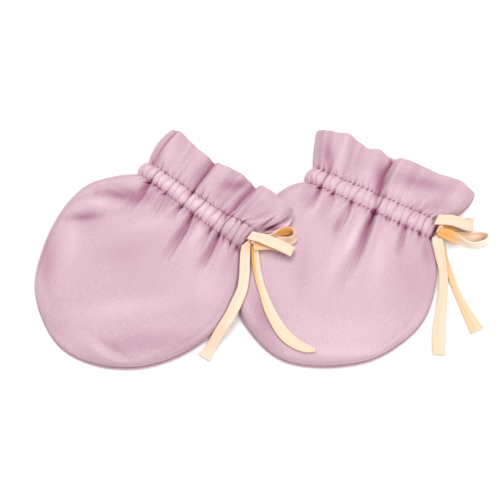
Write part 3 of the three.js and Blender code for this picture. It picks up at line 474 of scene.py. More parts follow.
# How dark the painted shade of each hollow is, and how far it spreads in millimetres, then the
# weights of the painted light and shade on soft areas and of the painted highlight on the casing's pads
shades = {
    "gather": 0.2, "gatherAtRows": 0.12, "crease": 0.45, "creaseMost": 1.4, "creasePower": 1.5,
    "fold": 0.2, "row": 0.12, "rowWide": 1.5, "pinch": 0.85, "pinchWide": 0.55, "pinchLong": 1.3,
    "upperPinch": 0.6, "upperLong": 1.1, "casingEnd": 0.9, "casingEndWide": 0.5, "casingEndLong": 4,
    "paintedLightShades": 1.2, "padHighlight": 0.36, "padShare": 0.42,
}


# A body point's across (column 0) or along (column 1). The casing line, the two sides and the tip
# are blended: (1 - down) casing + down tip + (1 - share) (left - its corners) + share (right - its corners)
def bodyPlan(mitten, column, share, down):
    outline = np.array(mitten["outline"], float)[:, column]
    leftCorner, rightCorner = mitten["corners"]
    last = len(outline) - 1
    casing = mitten["casingHalf"] * (2 * share - 1) if column == 0 else 0
    left = curveAt(outline, leftCorner * down)
    right = curveAt(outline, last - (last - rightCorner) * down)
    tip = curveAt(outline, leftCorner + (rightCorner - leftCorner) * share)
    leftEnds = (1 - down) * outline[0] + down * outline[leftCorner]
    rightEnds = (1 - down) * outline[last] + down * outline[rightCorner]
    upright = (1 - down) * casing + down * tip
    return upright + (1 - share) * (left - leftEnds) + share * (right - rightEnds)


# Plan of a panel. share runs from its left side, 0, to its right side, 1, and level from the
# fingertips, -1, through the lower stitches, 0, and the upper ones, 1, to the frill's edge, 2.
# In the frill a point lies between its root on the casing and its place on the free edge, and the
# sides swell out by the belly times 4 at (1 - at). The casing's left end swells the same way.
def planOf(mitten, share, level, belly):
    half = mitten["casingHalf"]
    down, inCasing, at = np.clip(-level, 0, 1), np.clip(level, 0, 1), np.clip(level - 1, 0, 1)
    root = half * (2 * share - 1)
    sideShare = 1 - np.abs(2 * share - 1)
    waves = np.array(mitten["waves"], float).T
    edgeAcross = np.interp(root, waves[0], waves[1])
    edgeAlong = easedTable(waves[0], waves[2], root)
    width = mitten["casingWidth"][0] + (mitten["casingWidth"][1] - mitten["casingWidth"][0]) * share
    sideways = share ** 6 * belly[1] - (1 - share) ** 6 * belly[0]
    upperAcross = root + (edgeAcross - root) * at + 4 * at * (1 - at) * sideways
    upperAcross = upperAcross - 4 * inCasing * (1 - inCasing) * (1 - share) ** 6 * mitten["casingBelly"]
    upperAlong = width * inCasing + (edgeAlong - width) * at
    body = level < 0
    across = np.where(body, bodyPlan(mitten, 0, share, down), upperAcross)
    along = np.where(body, bodyPlan(mitten, 1, share, down), upperAlong)
    rightSide, leftSide = (bodyPlan(mitten, 0, side * np.ones_like(down), down) for side in (1, 0))
    bodyHalf = (rightSide - leftSide) / 2
    side = np.where(body, bodyHalf, half) * sideShare
    length = -min(row[1] for row in mitten["outline"])
    tip = np.where(body, length * (1 - down), cloth["farFromTip"])
    return {"across": across, "along": along, "side": side, "tip": tip, "root": root, "width": width,
            "share": share, "level": level, "at": at}


# Gathers: at each place the cloth dips by its depth times (half a narrow bell + 0.15 of a broad
# cosine of the way to the next place), and past the outermost ones it comes up again within a
# millimetre. The depth times the bell alone is returned too, for the shade.
def gatherDip(mitten, root, along):
    places, depths = np.array(mitten["gathers"], float).T
    wander = root + 0.3 * np.sin(along / 2.1 + root * 0.7)
    turns = np.interp(wander, places, np.arange(len(places)))
    off = np.abs(turns - np.round(turns))
    narrow, broad = bell(off / 0.085), 0.5 + 0.5 * np.cos(2 * np.pi * turns)
    beyond = np.maximum(np.maximum(places[0] - wander, wander - places[-1]), 0)
    depth = np.interp(wander, places, depths) * bell(beyond / 0.9)
    return depth * (0.5 * narrow + 0.15 * broad), depth * narrow


# How much of the gathers shows: all on the casing, less down the body, none far up the frill
def gatherShare(plan):
    body = bell(plan["along"] / cloth["gatherFadeBody"])
    frill = np.maximum(0, 1 - plan["at"] / cloth["gatherFadeFrill"])
    return np.where(plan["level"] < 0, body, frill)


# The frill's waves: nothing on the body, then a share that grows from the casing to the free edge
def waveRise(mitten, plan):
    waves = np.array(mitten["waves"], float).T
    level, start = plan["level"], cloth["waveStart"]
    grown = np.where(level < 1, start * np.clip(level, 0, 1), start + (1 - start) * plan["at"])
    return easedTable(waves[0], waves[3], plan["root"]) * grown


# A fold down the body: a trough between two soft ridges, steeper on its right flank
def foldHeight(fold, plan):
    at, to, reach, deep, wide = fold
    down = -plan["along"] / reach
    off = (plan["across"] - at - (to - at) * down) / (wide * (0.7 + 0.7 * down))
    flank = np.where(off < 0, off / 1.2, off / 0.75)
    trough = bell(flank)
    ridges = 0.4 * bell(np.abs(off) - 1.9)
    strength = deep * (1 - down) * np.minimum(1, 0.4 + 5 * down) * ((down > 0) & (down < 1))
    return strength * ridges, strength * trough


# A crease along a line of points: its depth follows the points, and a bell closes each flank
def creaseDepth(crease, plan):
    leftFlank, rightFlank, points = crease[0], crease[1], np.array(crease[2:], float)
    nearest = np.full(plan["across"].shape, np.inf)
    depth = np.zeros_like(nearest)
    for first, second in zip(points[:-1], points[1:]):
        run = second[:2] - first[:2]
        x, y = plan["across"] - first[0], plan["along"] - first[1]
        place = (x * run[0] + y * run[1]) / (run @ run)
        held = np.clip(place, 0, 1)
        away = np.hypot(x - run[0] * held, y - run[1] * held)
        onRight = (x * run[1] - y * run[0]) > 0
        onRight = onRight if run[1] > 0 else ~onRight
        flank = np.where(onRight, rightFlank, leftFlank)
        here = (first[2] + (second[2] - first[2]) * held) * bell(away / flank)
        closer = away < nearest
        nearest = np.where(closer, away, nearest)
        depth = np.where(closer, here, depth)
    return depth


# A soft hollow or swelling: a bell along and across its own turned axes
def swellHeight(swell, plan):
    across, along, long, wide, turn, high = swell
    angle = math.radians(turn)
    x, y = plan["across"] - across, plan["along"] - along
    lengthwise = (x * math.cos(angle) + y * math.sin(angle)) / long
    crosswise = (y * math.cos(angle) - x * math.sin(angle)) / wide
    return high * np.exp(-lengthwise ** 2 - crosswise ** 2)


# The left frill's right corner lies on the other mitten: a smooth step across times one along
def liftOf(mitten, plan):
    lift = mitten["lift"]
    across = ease((2 * plan["share"] - 1 - lift["start"]) / (1 - lift["start"]))
    return lift["high"] * across * ease((plan["along"] - lift["from"]) / (lift["to"] - lift["from"]))


# Nearness to the two rows of stitches: a bell about each
def nearRows(plan):
    wide = cloth["puckerWide"]
    return bell(plan["along"] / wide) + bell((plan["along"] - plan["width"]) / wide)


# Painted shade of the pinches at a row of stitches: the sum of a bell about each, times how dark it is
def pinchShadesOf(rows, plan):
    return sum(dark * bell((plan["root"] - at) / shades["pinchWide"]) for at, dark in rows)


# Height of the front's outer side: roll times (crown + ridges - troughs + swells + ripple -
# creases), plus side times (waves - gathers - puckers), plus the lift. Its painted shade is the sum
# of gathers, creases, troughs, the lower row, the pinches and a painted shadow line at the casing's
# end. Its painted light and shade is the sum of the mitten's soft areas, less a bell along the
# casing that paints a highlight on its pads.
def frontHeight(mitten, plan):
    lift = liftOf(mitten, plan)
    fromMiddle = plan["along"] - cloth["casingMiddle"]
    casingEnd = ease(4 * plan["share"] - 3) * bell(fromMiddle / shades["casingEndLong"])
    sideRoll = cloth["edgeRoll"] - cloth["liftedRoll"] * lift - cloth["casingRoll"] * casingEnd
    side = roundOff(plan["side"] / sideRoll)
    roll = side * roundOff(plan["tip"] / cloth["edgeRoll"])
    crownAt, crownHigh = np.array(cloth["crown"], float).T
    crown = easedTable(crownAt, crownHigh, plan["along"])
    share = gatherShare(plan)
    dip, line = (part * share for part in gatherDip(mitten, plan["root"], plan["along"]))
    pucker = nearRows(plan) * (cloth["rowGroove"] + cloth["puckerDeep"] * np.cos(
        2 * np.pi * plan["root"] / cloth["stitchPitch"]))
    wave = waveRise(mitten, plan)
    folds = (foldHeight(fold, plan) for fold in mitten["folds"])
    ridges, troughs = (sum(parts) for parts in zip(*folds))
    creases = sum(creaseDepth(crease, plan) for crease in mitten["creases"])
    swells = sum(swellHeight(swell, plan) for swell in mitten["swells"])
    slow = np.sin(plan["across"] / 5.3 + plan["along"] / 11)
    ripple = 0.1 * slow * np.sin(plan["along"] / 6.1 - plan["across"] / 17)
    form = roll * (crown + ridges - troughs + swells + ripple - cloth["creaseShown"] * creases)
    form = form + side * (cloth["waveShown"] * wave - dip - pucker)
    lowerRow = bell((plan["along"] + 0.6) / shades["rowWide"])
    creased = np.minimum(creases, shades["creaseMost"]) ** shades["creasePower"]
    # painted shade of the gather lines, creases, troughs and the lower row
    paintedShade = line * (shades["gather"] + shades["gatherAtRows"] * nearRows(plan))
    paintedShade = paintedShade + shades["crease"] * creased + shades["fold"] * troughs ** 2 + shades["row"] * lowerRow
    lower = bell((plan["along"] + 0.3) / shades["pinchLong"])
    upper = bell((plan["along"] - plan["width"] - 0.3) / shades["upperLong"])
    endShadow = bell((1 - plan["share"]) * mitten["casingHalf"] / shades["casingEndWide"])
    endShadow = endShadow * bell(fromMiddle / shades["casingEndLong"])
    # painted shade of the pinches and a painted shadow line at the casing's end
    paintedShade = paintedShade + shades["pinch"] * lower * pinchShadesOf(mitten["pinchShades"], plan)
    paintedShade = paintedShade + shades["casingEnd"] * endShadow
    paintedShade = paintedShade + shades["upperPinch"] * upper * pinchShadesOf(mitten["upperPinchShades"], plan)
    # painted highlight on the casing's pads, and the soft areas' painted light and shade
    padHighlight = bell((plan["along"] - 0.5 * plan["width"]) / (shades["padShare"] * plan["width"]))
    paintedAreas = sum(swellHeight(area, plan) for area in mitten["paintedLightShades"])
    paintedLightShade = shades["paintedLightShades"] * paintedAreas - shades["padHighlight"] * padHighlight
    return cloth["seamTop"] + form + lift, np.clip(paintedShade, 0, 1), np.clip(paintedLightShade, -1, 1)


# Height of the back's lower side: flat, but under the lifted corner and the frill's crests
def backHeight(mitten, plan):
    side = roundOff(plan["side"] / cloth["edgeRoll"])
    return liftOf(mitten, plan) + cloth["backFollows"] * side * np.maximum(0, waveRise(mitten, plan))


# From a mitten's own frame in millimetres to the pair's in metres: a turn, then a shift
def placed(mitten, across, along, height):
    turn = math.radians(mitten["turn"])
    x = mitten["place"][0] + across * math.cos(turn) - along * math.sin(turn)
    y = mitten["place"][1] + across * math.sin(turn) + along * math.cos(turn)
    return np.stack([x, y, height], axis=-1) * mm


# Normals of a grid of points: the cross product of its two runs of neighbours
def gridNormals(points):
    return unit(np.cross(np.gradient(points, axis=0), np.gradient(points, axis=1)))


# A closed shell between an upper and a lower grid, with its rim rounded by half circles that
# stand out by the bulge
def shell(name, upper, lower, bulge, material, attributes):
    rows, columns = upper.shape[:2]
    index = np.arange(rows * columns).reshape(rows, columns)
    border = np.concatenate([index[0, :-1], index[:-1, -1], index[-1, :0:-1], index[:0:-1, 0]])
    above, below = upper.reshape(-1, 3)[border], lower.reshape(-1, 3)[border]
    run = np.roll(above, -1, axis=0) - np.roll(above, 1, axis=0)
    outward = unit(np.stack([-run[:, 1], run[:, 0], np.zeros(len(run))], axis=1) + 1e-12)
    turns = np.linspace(0, np.pi, 6)[1:-1, None, None]
    middle, half = (above + below) / 2, (above - below) / 2
    rim = middle + half * np.cos(turns) + outward * bulge * np.sin(turns)
    flat = rows * columns
    points = np.concatenate([upper.reshape(-1, 3), lower.reshape(-1, 3), rim.reshape(-1, 3)])
    rimIndex = 2 * flat + np.arange(rim.shape[0] * len(border)).reshape(-1, len(border))
    rings = np.concatenate([border[None], rimIndex, flat + border[None]])
    after = np.roll(rings, -1, axis=1)
    rimQuads = np.stack([rings[:-1], after[:-1], after[1:], rings[1:]], axis=-1)
    a, b, c, d = index[:-1, :-1], index[1:, :-1], index[1:, 1:], index[:-1, 1:]
    top = np.stack([a, b, c, d], axis=-1)
    under = flat + np.stack([a, d, c, b], axis=-1)
    quads = np.concatenate([part.reshape(-1, 4) for part in (top, under, rimQuads)])
    carried = {}
    for key, values in attributes.items():
        grid = values.reshape(flat, -1)
        carried[key] = np.concatenate([grid, grid, np.tile(grid[border], (rim.shape[0], 1))])
    return meshObject(name, points, quads, np.zeros((0, 3), int), material, carried)


# Places of a panel's columns and rows: finer towards the seam, and one row on each line of stitches
def panelGrid(columns, frillRows, casingRows, bodyRows):
    even = np.linspace(0, 1, columns)
    share = 0.55 * even + 0.45 * (0.5 - 0.5 * np.cos(np.pi * even))
    up = np.linspace(0, 1, frillRows)
    frill = 1 + 0.3 * 0.5 * (1 + np.cos(np.pi * up)) + 0.7 * (1 - up)
    casing = np.linspace(1, 0, casingRows)[1:]
    down = np.linspace(0, 1, bodyRows)[1:]
    body = -(0.6 * down + 0.4 * np.sin(np.pi / 2 * down))
    return np.meshgrid(share, np.concatenate([frill, casing, body]))


frontGrid = {"columns": 250, "frillRows": 44, "casingRows": 28, "bodyRows": 105}
backGrid = {"columns": 150, "frillRows": 34, "casingRows": 22, "bodyRows": 66}


# The front: its outer side, and an inner side one wall further in along the normals, kept clear
# of the back. The mouth draws the frill's right edge in and up, most half way along it, so that
# the back shows past it.
def frontPanel(mitten):
    share, level = panelGrid(**frontGrid)
    plan = planOf(mitten, share, level, mitten["sideBelly"])
    height, paintedShade, paintedLightShade = frontHeight(mitten, plan)
    mouth = mitten["mouth"]
    drawn = ease((share - mouth["start"]) / (1 - mouth["start"]))
    drawn = drawn * np.sin(np.pi * np.clip(plan["at"], 0, 1)) ** 0.7
    plan["across"] = plan["across"] - mouth["pull"] * drawn
    height = height + mouth["rise"] * drawn
    upper = placed(mitten, plan["across"], plan["along"], height)
    lower = upper - gridNormals(upper) * cloth["wall"] * mm
    floor = backHeight(mitten, plan) + cloth["backLevel"] + cloth["gap"] + mouth["rise"] * drawn * 0.8
    lower[..., 2] = np.maximum(lower[..., 2], floor * mm)
    flat = np.stack([plan["across"], plan["along"], height], axis=-1)
    return shell(mitten["name"] + "_front_satin", upper, lower, 0.3 * mm, satinFront,
                 {"cloth": flat, "paintedShade": paintedShade, "paintedLightShade": paintedLightShade})


# Puckers of the back between its stitches: a cosine that is 0 at its lowest
def backPucker(root):
    return cloth["backPucker"] * (1 + np.cos(2 * np.pi * root / cloth["stitchPitch"]))


# The back: its lower side is flat with shallow gathers and folds pressed into it, and its rim
# stands out past the front's seam. Painted shade darkens its gathers, folds and rows and, on its
# upper side, the slits in the frill's mouth, and a painted highlight lightens it with the lift.
def backPanel(mitten):
    share, level = panelGrid(**backGrid)
    plan = planOf(mitten, share, level, mitten["backBelly"])
    middle = 0.5 * min(row[1] for row in mitten["outline"])
    spread = np.where(level < 0, 1 + cloth["backRim"] / cloth["bodyHalf"] * ease(-2 * level), 1)
    edge = np.minimum(plan["side"], plan["tip"])
    pressed = ease(edge / 2)
    dip = gatherDip(mitten, plan["root"] + 1.3, plan["along"])[0] * gatherShare(plan)
    troughs = sum(foldHeight(fold, plan)[1] for fold in mitten["folds"])
    pucker = nearRows(plan) * backPucker(plan["root"])
    under = backHeight(mitten, plan)
    grooves = pressed * np.clip(0.42 * dip + 0.2 * troughs + pucker, 0, 0.85)
    across, along = plan["across"] * spread, middle + (plan["along"] - middle) * spread
    lower = placed(mitten, across, along, under + grooves)
    upper = placed(mitten, across, along, under + cloth["backLevel"])
    inside = sum(swellHeight(mark, plan) for mark in mitten["inside"])
    # painted shade in the gathers, folds, rows and the mouth's slits
    paintedShade = np.clip(0.5 * dip + 0.2 * troughs + 0.1 * nearRows(plan) + inside, 0, 1)
    flat = np.stack([across, along, under], axis=-1)
    # its painted highlight grows with the lift, where the back lies in shade under the front's frill
    return shell(mitten["name"] + "_back_satin", upper, lower, 0.35 * mm, satinBack,
                 {"cloth": flat, "paintedShade": paintedShade, "paintedLightShade": -0.9 * ease(liftOf(mitten, plan) / 3)})


stitch = {"long": 1.85, "thick": 0.42, "wander": 0.22, "rings": 7, "sides": 6}


# Two rows of stitches on one panel: each is a short thread that follows the cloth between two
# needle holes and dives at its ends, and two sines make the row wander. Its rings are circles
# about the thread's line.
def stitchRows(mitten, side):
    half, pitch = mitten["casingHalf"], cloth["stitchPitch"]
    count = int((2 * half - 2.4) / pitch)
    middles = (np.arange(count) - (count - 1) / 2) * pitch
    step = np.linspace(-0.5, 0.5, stitch["rings"])
    root = (middles[:, None] + step * stitch["long"])[None] * np.ones((2, 1, 1))
    level = np.array([0.0, 1.0])[:, None, None] * np.ones_like(root)
    share = (root / half + 1) / 2
    plan = planOf(mitten, share, level, mitten["sideBelly"])
    wander = np.sin(2.9 * plan["root"]) + 0.6 * np.sin(7.3 * plan["root"])
    plan["along"] = plan["along"] + stitch["wander"] * wander
    dive = stitch["thick"] * (0.15 - 0.9 * (2 * np.abs(step)) ** 4)
    if side == "front":
        height = frontHeight(mitten, plan)[0] + dive
    else:
        dip = gatherDip(mitten, plan["root"] + 1.3, plan["along"])[0]
        pressed = np.clip(0.42 * dip + backPucker(plan["root"]), 0, 0.85)
        height = backHeight(mitten, plan) + pressed + 0.18 - dive
    line = placed(mitten, plan["across"], plan["along"], height).reshape(-1, stitch["rings"], 3)
    forward = unit(np.gradient(line, axis=1))
    aside = unit(np.cross(forward, np.array([0, 0, 1.0])))
    upward = np.cross(aside, forward)
    angle = np.linspace(0, 2 * np.pi, stitch["sides"], endpoint=False)[:, None]
    taper = (0.5 * stitch["thick"] * mm * (1 - 0.5 * (2 * np.abs(step)) ** 4))[:, None, None]
    circle = aside[:, :, None] * np.cos(angle) + upward[:, :, None] * np.sin(angle)
    rings = line[:, :, None] + taper * circle
    run = np.broadcast_to((step * stitch["long"])[None, :, None], rings.shape[:3])
    turn = np.broadcast_to(angle[:, 0], rings.shape[:3])
    flat = np.stack([run, turn, run * 0], axis=-1)
    return tubes(mitten["name"] + "_" + side + "_stitches", rings, roseThread, {"cloth": flat})


# The drawstrings' routes, in metres. The rows hold x, y, z, the heading of the ribbon's width in
# plan and its climb in degrees, and the width. Tuck is how far each end goes on out of sight, and
# its slant in degrees. Warm is painted light and shade: an orange for light through the ribbon and
# for shade, and below 0 a painted highlight. Its rows hold the place on the route, the outer side,
# the inner side, and the edge on the left.
ribbons = {
    "left_tail_1": {
        "tail": True,
        "tuck": ((0.0024, 44), (0, 0)),
        "paintedWarmth": ((0, 0.1, 0.12, 0), (1, 0, 0.04, 0), (4, 0, 0, 0.04), (10, 0, 0.02, 0.1)),
        "route": (
            (-0.0049, -0.0026, 0.007, -6, 0, 0.004), (-0.0051, -0.0049, 0.0062, -3, 0, 0.0045),
            (-0.0053, -0.009, 0.0059, 0, 0, 0.0046), (-0.0055, -0.0151, 0.0059, -5, 2, 0.0045),
            (-0.0064, -0.0215, 0.0058, -14, 3, 0.0048), (-0.0087, -0.0274, 0.0055, -23, 2, 0.0049),
            (-0.0112, -0.0327, 0.0051, -29, 0, 0.0048), (-0.0142, -0.0375, 0.0045, -31, 0, 0.0046),
            (-0.0174, -0.0422, 0.0025, -29, 0, 0.0044), (-0.0201, -0.0471, 0.0009, -28, 0, 0.0044),
            (-0.0224, -0.0508, 0.0007, -31, 0, 0.0058),
        ),
    },
    "left_tail_2": {
        "tail": True,
        "tuck": ((0.0025, 0), (0, 0)),
        "paintedWarmth": (
            (0, 0.3, 0.06, 0.9), (1, 0.3, 0.06, 0.9), (2, 0.2, 0.04, 0.7), (3.5, 0.05, 0.02, 0.3),
            (5, 0, 0.02, 0.1), (10, 0, 0.02, 0.1),
        ),
        "route": (
            (-0.0009, -0.0041, 0.0065, 4, 4, 0.0032), (-0.0006, -0.0082, 0.0062, 6, 8, 0.0036),
            (0, -0.0128, 0.006, 9, 6, 0.0034), (0.0011, -0.0179, 0.0059, 13, 2, 0.0034),
            (0.003, -0.0243, 0.0059, 17, 0, 0.0037), (0.0052, -0.0307, 0.0059, 21, 0, 0.0044),
            (0.008, -0.0366, 0.0059, 30, 0, 0.005), (0.0116, -0.0422, 0.0059, 44, 0, 0.0052),
            (0.0163, -0.0462, 0.0059, 58, 0, 0.0049), (0.0207, -0.0483, 0.0059, 70, 0, 0.0038),
            (0.0245, -0.0492, 0.0059, 80, 0, 0.0015),
        ),
    },
    "left_loop_front": {
        "tail": False,
        "tuck": ((0.002, 0), (0.004, -22)),
        "paintedWarmth": (
            (0, 0.3, 0.32, 0), (3, 0.2, 0.3, 0), (5, 0, 0.2, 0), (6, 0, 0.4, 0), (8, 0, 0.5, 0),
            (10, 0, 0.5, 0),
        ),
        "route": (
            (0.0004, -0.0022, 0.0077, 82, 0, 0.004), (0.0031, -0.0018, 0.0076, 84, 0, 0.0043),
            (0.0061, -0.0016, 0.0075, 77, 0, 0.0046), (0.0101, -0.0025, 0.0073, 69, 0, 0.0048),
            (0.0138, -0.004, 0.0073, 66, 0, 0.0048), (0.0153, -0.005, 0.0079, 66, 0, 0.0048),
            (0.0142, -0.0046, 0.0087, 66, 0, 0.0048), (0.0105, -0.0027, 0.009, 67, 0, 0.005),
            (0.0061, -0.0009, 0.0093, 68, 0, 0.0052), (0.0026, 0.0004, 0.0097, 69, 0, 0.0049),
            (0.0006, 0.0009, 0.0099, 70, 0, 0.0042),
        ),
    },
    "left_loop_rear": {
        "tail": False,
        "tuck": ((0.002, 0), (0.002, 0)),
        "paintedWarmth": (
            (0, 0.05, 0.1, 0), (2.6, 0.05, 0.1, 0), (3.2, 0.05, 0.75, 0), (4.6, 0.02, 0.75, 0),
            (5.6, 0, 0.2, 0), (9, 0.04, 0.2, 0), (11, 0.1, 0.4, 0),
        ),
        "route": (
            (0.0013, 0.0022, 0.0079, 84, 66, 0.002), (0.0035, 0.0024, 0.0078, 86, 72, 0.002),
            (0.0062, 0.0027, 0.0078, 92, 74, 0.0023), (0.0092, 0.0036, 0.008, 98, 68, 0.004),
            (0.0128, 0.0048, 0.0078, 96, 54, 0.0044), (0.0157, 0.0042, 0.0077, 50, 72, 0.0044),
            (0.0165, 0.0021, 0.0075, 2, 116, 0.0046), (0.0149, 0.0005, 0.0072, -52, 128, 0.0048),
            (0.0119, 0.0004, 0.0066, -78, 152, 0.0042), (0.0079, 0.0013, 0.0062, -96, 178, 0.0034),
            (0.0044, 0.0023, 0.0061, -96, 178, 0.003), (0.0016, 0.0028, 0.0061, -96, 178, 0.0026),
        ),
    },
    "right_tail_1": {
        "tail": True,
        "tuck": ((0.001, 36), (0, 0)),
        "paintedWarmth": ((0, 0, 0.06, 0), (3, 0, 0.03, 0.05), (9, 0, 0.06, 0.04)),
        "route": (
            (0.0794, 0.0029, 0.0049, 12, 0, 0.0044), (0.0799, -0.0016, 0.005, 9, 0, 0.0048),
            (0.0807, -0.0067, 0.0037, 11, 0, 0.0045), (0.0815, -0.0111, 0.0023, 8, 0, 0.0037),
            (0.0816, -0.0158, 0.0017, 1, 0, 0.0039), (0.0811, -0.0216, 0.001, -4, 0, 0.0042),
            (0.0802, -0.028, 0.0007, -6, 0, 0.0045), (0.0791, -0.0344, 0.0007, -5, 0, 0.0052),
            (0.0782, -0.0412, 0.0007, -3, 0, 0.0058), (0.0777, -0.049, 0.0007, 0, 0, 0.0056),
        ),
    },
    "right_tail_2": {
        "tail": True,
        "tuck": ((0.002, 0), (0, 0)),
        "paintedWarmth": ((0, 0.3, 0.4, 0.2), (2, 0.2, 0.3, 0.2), (4, 0.1, 0.2, 0.15), (7, 0, 0.16, 0.1)),
        "route": (
            (0.0824, -0.0006, 0.0014, 8, 0, 0.0024), (0.0831, -0.0052, 0.0009, 11, 0, 0.0027),
            (0.0842, -0.0101, 0.0007, 16, 0, 0.003), (0.0857, -0.0155, 0.0007, 18, 0, 0.003),
            (0.0877, -0.0222, 0.0007, 21, 0, 0.0032), (0.0902, -0.0284, 0.0007, 25, 0, 0.004),
            (0.0926, -0.0339, 0.0007, 28, 0, 0.0052), (0.0948, -0.0385, 0.0007, 32, 0, 0.0064),
        ),
    },
    "right_loop_upper": {
        "tail": False,
        "tuck": ((0.002, 0), (0.0036, -24)),
        "paintedWarmth": (
            (0, 0.6, 0.6, 0), (1, 0.5, 0.5, 0), (3, 0.1, 0.2, 0), (4, 0.02, 0.1, 0), (6, 0, 0.4, 0),
            (8, 0.02, 0.5, 0),
        ),
        "route": (
            (0.0834, 0.008, 0.0026, 94, 0, 0.0032), (0.0865, 0.009, 0.0019, 92, 0, 0.0036),
            (0.0902, 0.0101, 0.0015, 90, 0, 0.0042), (0.0936, 0.0115, 0.0015, 86, 0, 0.0048),
            (0.0957, 0.0103, 0.0028, 84, 0, 0.005), (0.0938, 0.0086, 0.0048, 84, 0, 0.005),
            (0.0903, 0.0095, 0.0058, 86, 0, 0.0052), (0.0863, 0.0106, 0.0064, 90, 0, 0.0054),
            (0.0829, 0.0107, 0.0066, 94, 0, 0.005),
        ),
    },
    "right_loop_lower": {
        "tail": False,
        "tuck": ((0.0025, 0), (0.002, 0)),
        "paintedWarmth": (
            (0, 0.3, 0.8, 0), (1.2, 0.2, 0.66, 0), (2, 0.2, 0.25, 0), (2.8, 0.1, -0.3, 0),
            (5, -0.1, -0.7, 0), (8, 0, -0.6, 0), (10, 0.2, 0, 0), (11, 0.5, 0, 0),
        ),
        "route": (
            (0.0825, 0.0044, 0.0062, 74, 14, 0.0045), (0.0851, 0.0035, 0.0057, 72, 26, 0.005),
            (0.0883, 0.0021, 0.0045, 72, 52, 0.0048), (0.0917, 0.0011, 0.0032, 74, 80, 0.0046),
            (0.0953, 0.0004, 0.0028, 82, 84, 0.0046), (0.0988, 0.0007, 0.0027, 108, 80, 0.0046),
            (0.1018, 0.0023, 0.0027, 165, 80, 0.0046), (0.1017, 0.0045, 0.0025, 232, 108, 0.0046),
            (0.0982, 0.0048, 0.002, 262, 138, 0.0046), (0.0942, 0.0046, 0.0018, 266, 148, 0.0044),
            (0.0902, 0.0049, 0.0016, 268, 156, 0.004), (0.0867, 0.0053, 0.0016, 270, 160, 0.0034),
        ),
    },
}

# The knots: places in metres, half sizes in millimetres, and the turn of their loops' line
knots = {
    "left_knot": {"place": (-0.0014, 0.0009, 0.008), "long": 2.6, "wide": 1, "high": 1.6, "turn": 73},
    "right_knot": {"place": (0.0808, 0.0068, 0.0046), "long": 2.8, "wide": 1, "high": 1.7, "turn": 64},
}


ribbonCut = {"width": 0.0044, "thick": 0.001, "steps": 150, "corners": 32}


# A ribbon: a pressed tube carried along its route. Across the ribbon, a runs from -1 to 1, and each
# face stands (1 - a^8)^0.5 (0.75 + 0.25 a^2) half thicknesses off the middle, less two creases that
# wander. Its angle is under 180 degrees on the outer side. Each end goes on straight by its tuck,
# unseen, into the knot or the casing, and slants there: across times the tangent of its turn.
def ribbonPiece(name):
    ribbon = ribbons[name]
    route = np.array(ribbon["route"], float)
    first, last = route[0].copy(), route[-1].copy()
    (startLong, startTurn), (endLong, endTurn) = ribbon["tuck"]
    first[:3] -= unit(route[1, :3] - route[0, :3]) * (startLong + 1e-5)
    last[:3] += unit(route[-1, :3] - route[-2, :3]) * (endLong + 1e-5)
    route = np.stack([first, *route, last])
    place = np.linspace(0, len(route) - 1, ribbonCut["steps"])
    columns = [curveAt(route[:, column], place) for column in range(6)]
    middle = np.stack(columns[:3], axis=-1)
    forward = unit(np.gradient(middle, axis=0))
    heading, tilt = np.radians(columns[3]), np.radians(columns[4])
    width = np.stack([np.cos(tilt) * np.cos(heading), np.cos(tilt) * np.sin(heading), np.sin(tilt)], axis=-1)
    width = unit(width - forward * np.sum(width * forward, axis=-1, keepdims=True))
    face = np.cross(forward, width)
    run = np.concatenate([[0], np.cumsum(np.linalg.norm(np.diff(middle, axis=0), axis=1))])
    seed = sum(map(ord, name)) * 0.37
    wide = columns[5] * (1 + 0.02 * np.sin(run * 410 + seed))
    angle = np.linspace(0, 2 * np.pi, ribbonCut["corners"], endpoint=False)
    a = np.cos(angle)[None]
    outer = (np.sin(angle) > 0)[None]
    crease = (0.3 * np.sin(run * 110 + seed) + 0.1)[:, None]
    groove = 0.45 * bell((a - crease) / 0.12) + 0.3 * bell((a + 0.55 + 0.6 * crease) / 0.08)
    half = np.sqrt(np.clip(1 - a ** 8, 0, 1)) * (0.75 + 0.25 * a * a) - groove * (np.abs(a) < 0.9)
    offset = np.where(np.abs(np.sin(angle))[None] < 1e-9, 0, np.sign(np.sin(angle))[None] * half)
    offset = offset * 0.5 * ribbonCut["thick"]
    across = 0.5 * wide[:, None] * a
    bow = 0.03 * wide[:, None] * np.sin(run * 260 + seed)[:, None] * (a * a - 0.5)
    slants = [-math.tan(math.radians(startTurn)), 0, 0, math.tan(math.radians(endTurn))]
    slant = np.interp(place, [0, 1, len(route) - 2, len(route) - 1], slants)[:, None] * across
    rings = middle[:, None] + width[:, None] * across[..., None]
    rings = rings - face[:, None] * (offset + bow)[..., None]
    rings = rings + forward[:, None] * slant[..., None]
    table = np.array(ribbon["paintedWarmth"], float).T
    outward, inward, leftEdge = (np.interp(place - 1, table[0], column)[:, None] for column in table[1:])
    # painted light and shade: each side from its table, the left edge, and darker creases
    paintedWarmth = np.where(outer, outward, inward) + leftEdge * ease(-a * 2.5) + 0.3 * groove
    paintedWarmth = np.clip(paintedWarmth * np.ones_like(across), -1, 1)
    flat = np.stack([a * wide[:, None] * 500, run[:, None] * 1000 * np.ones_like(a), offset * 0], axis=-1)
    marks = {"cloth": flat[None], "paintedWarmth": paintedWarmth[None, ..., None]}
    piece = tubes(name + "_satin", rings[None], ribbonSatin, marks)
    return piece


wrap = {"power": 3.4, "rings": 34, "corners": 48, "pleats": ((-0.3, 0.1, 0.05), (0.3, 0.13, 0.07))}


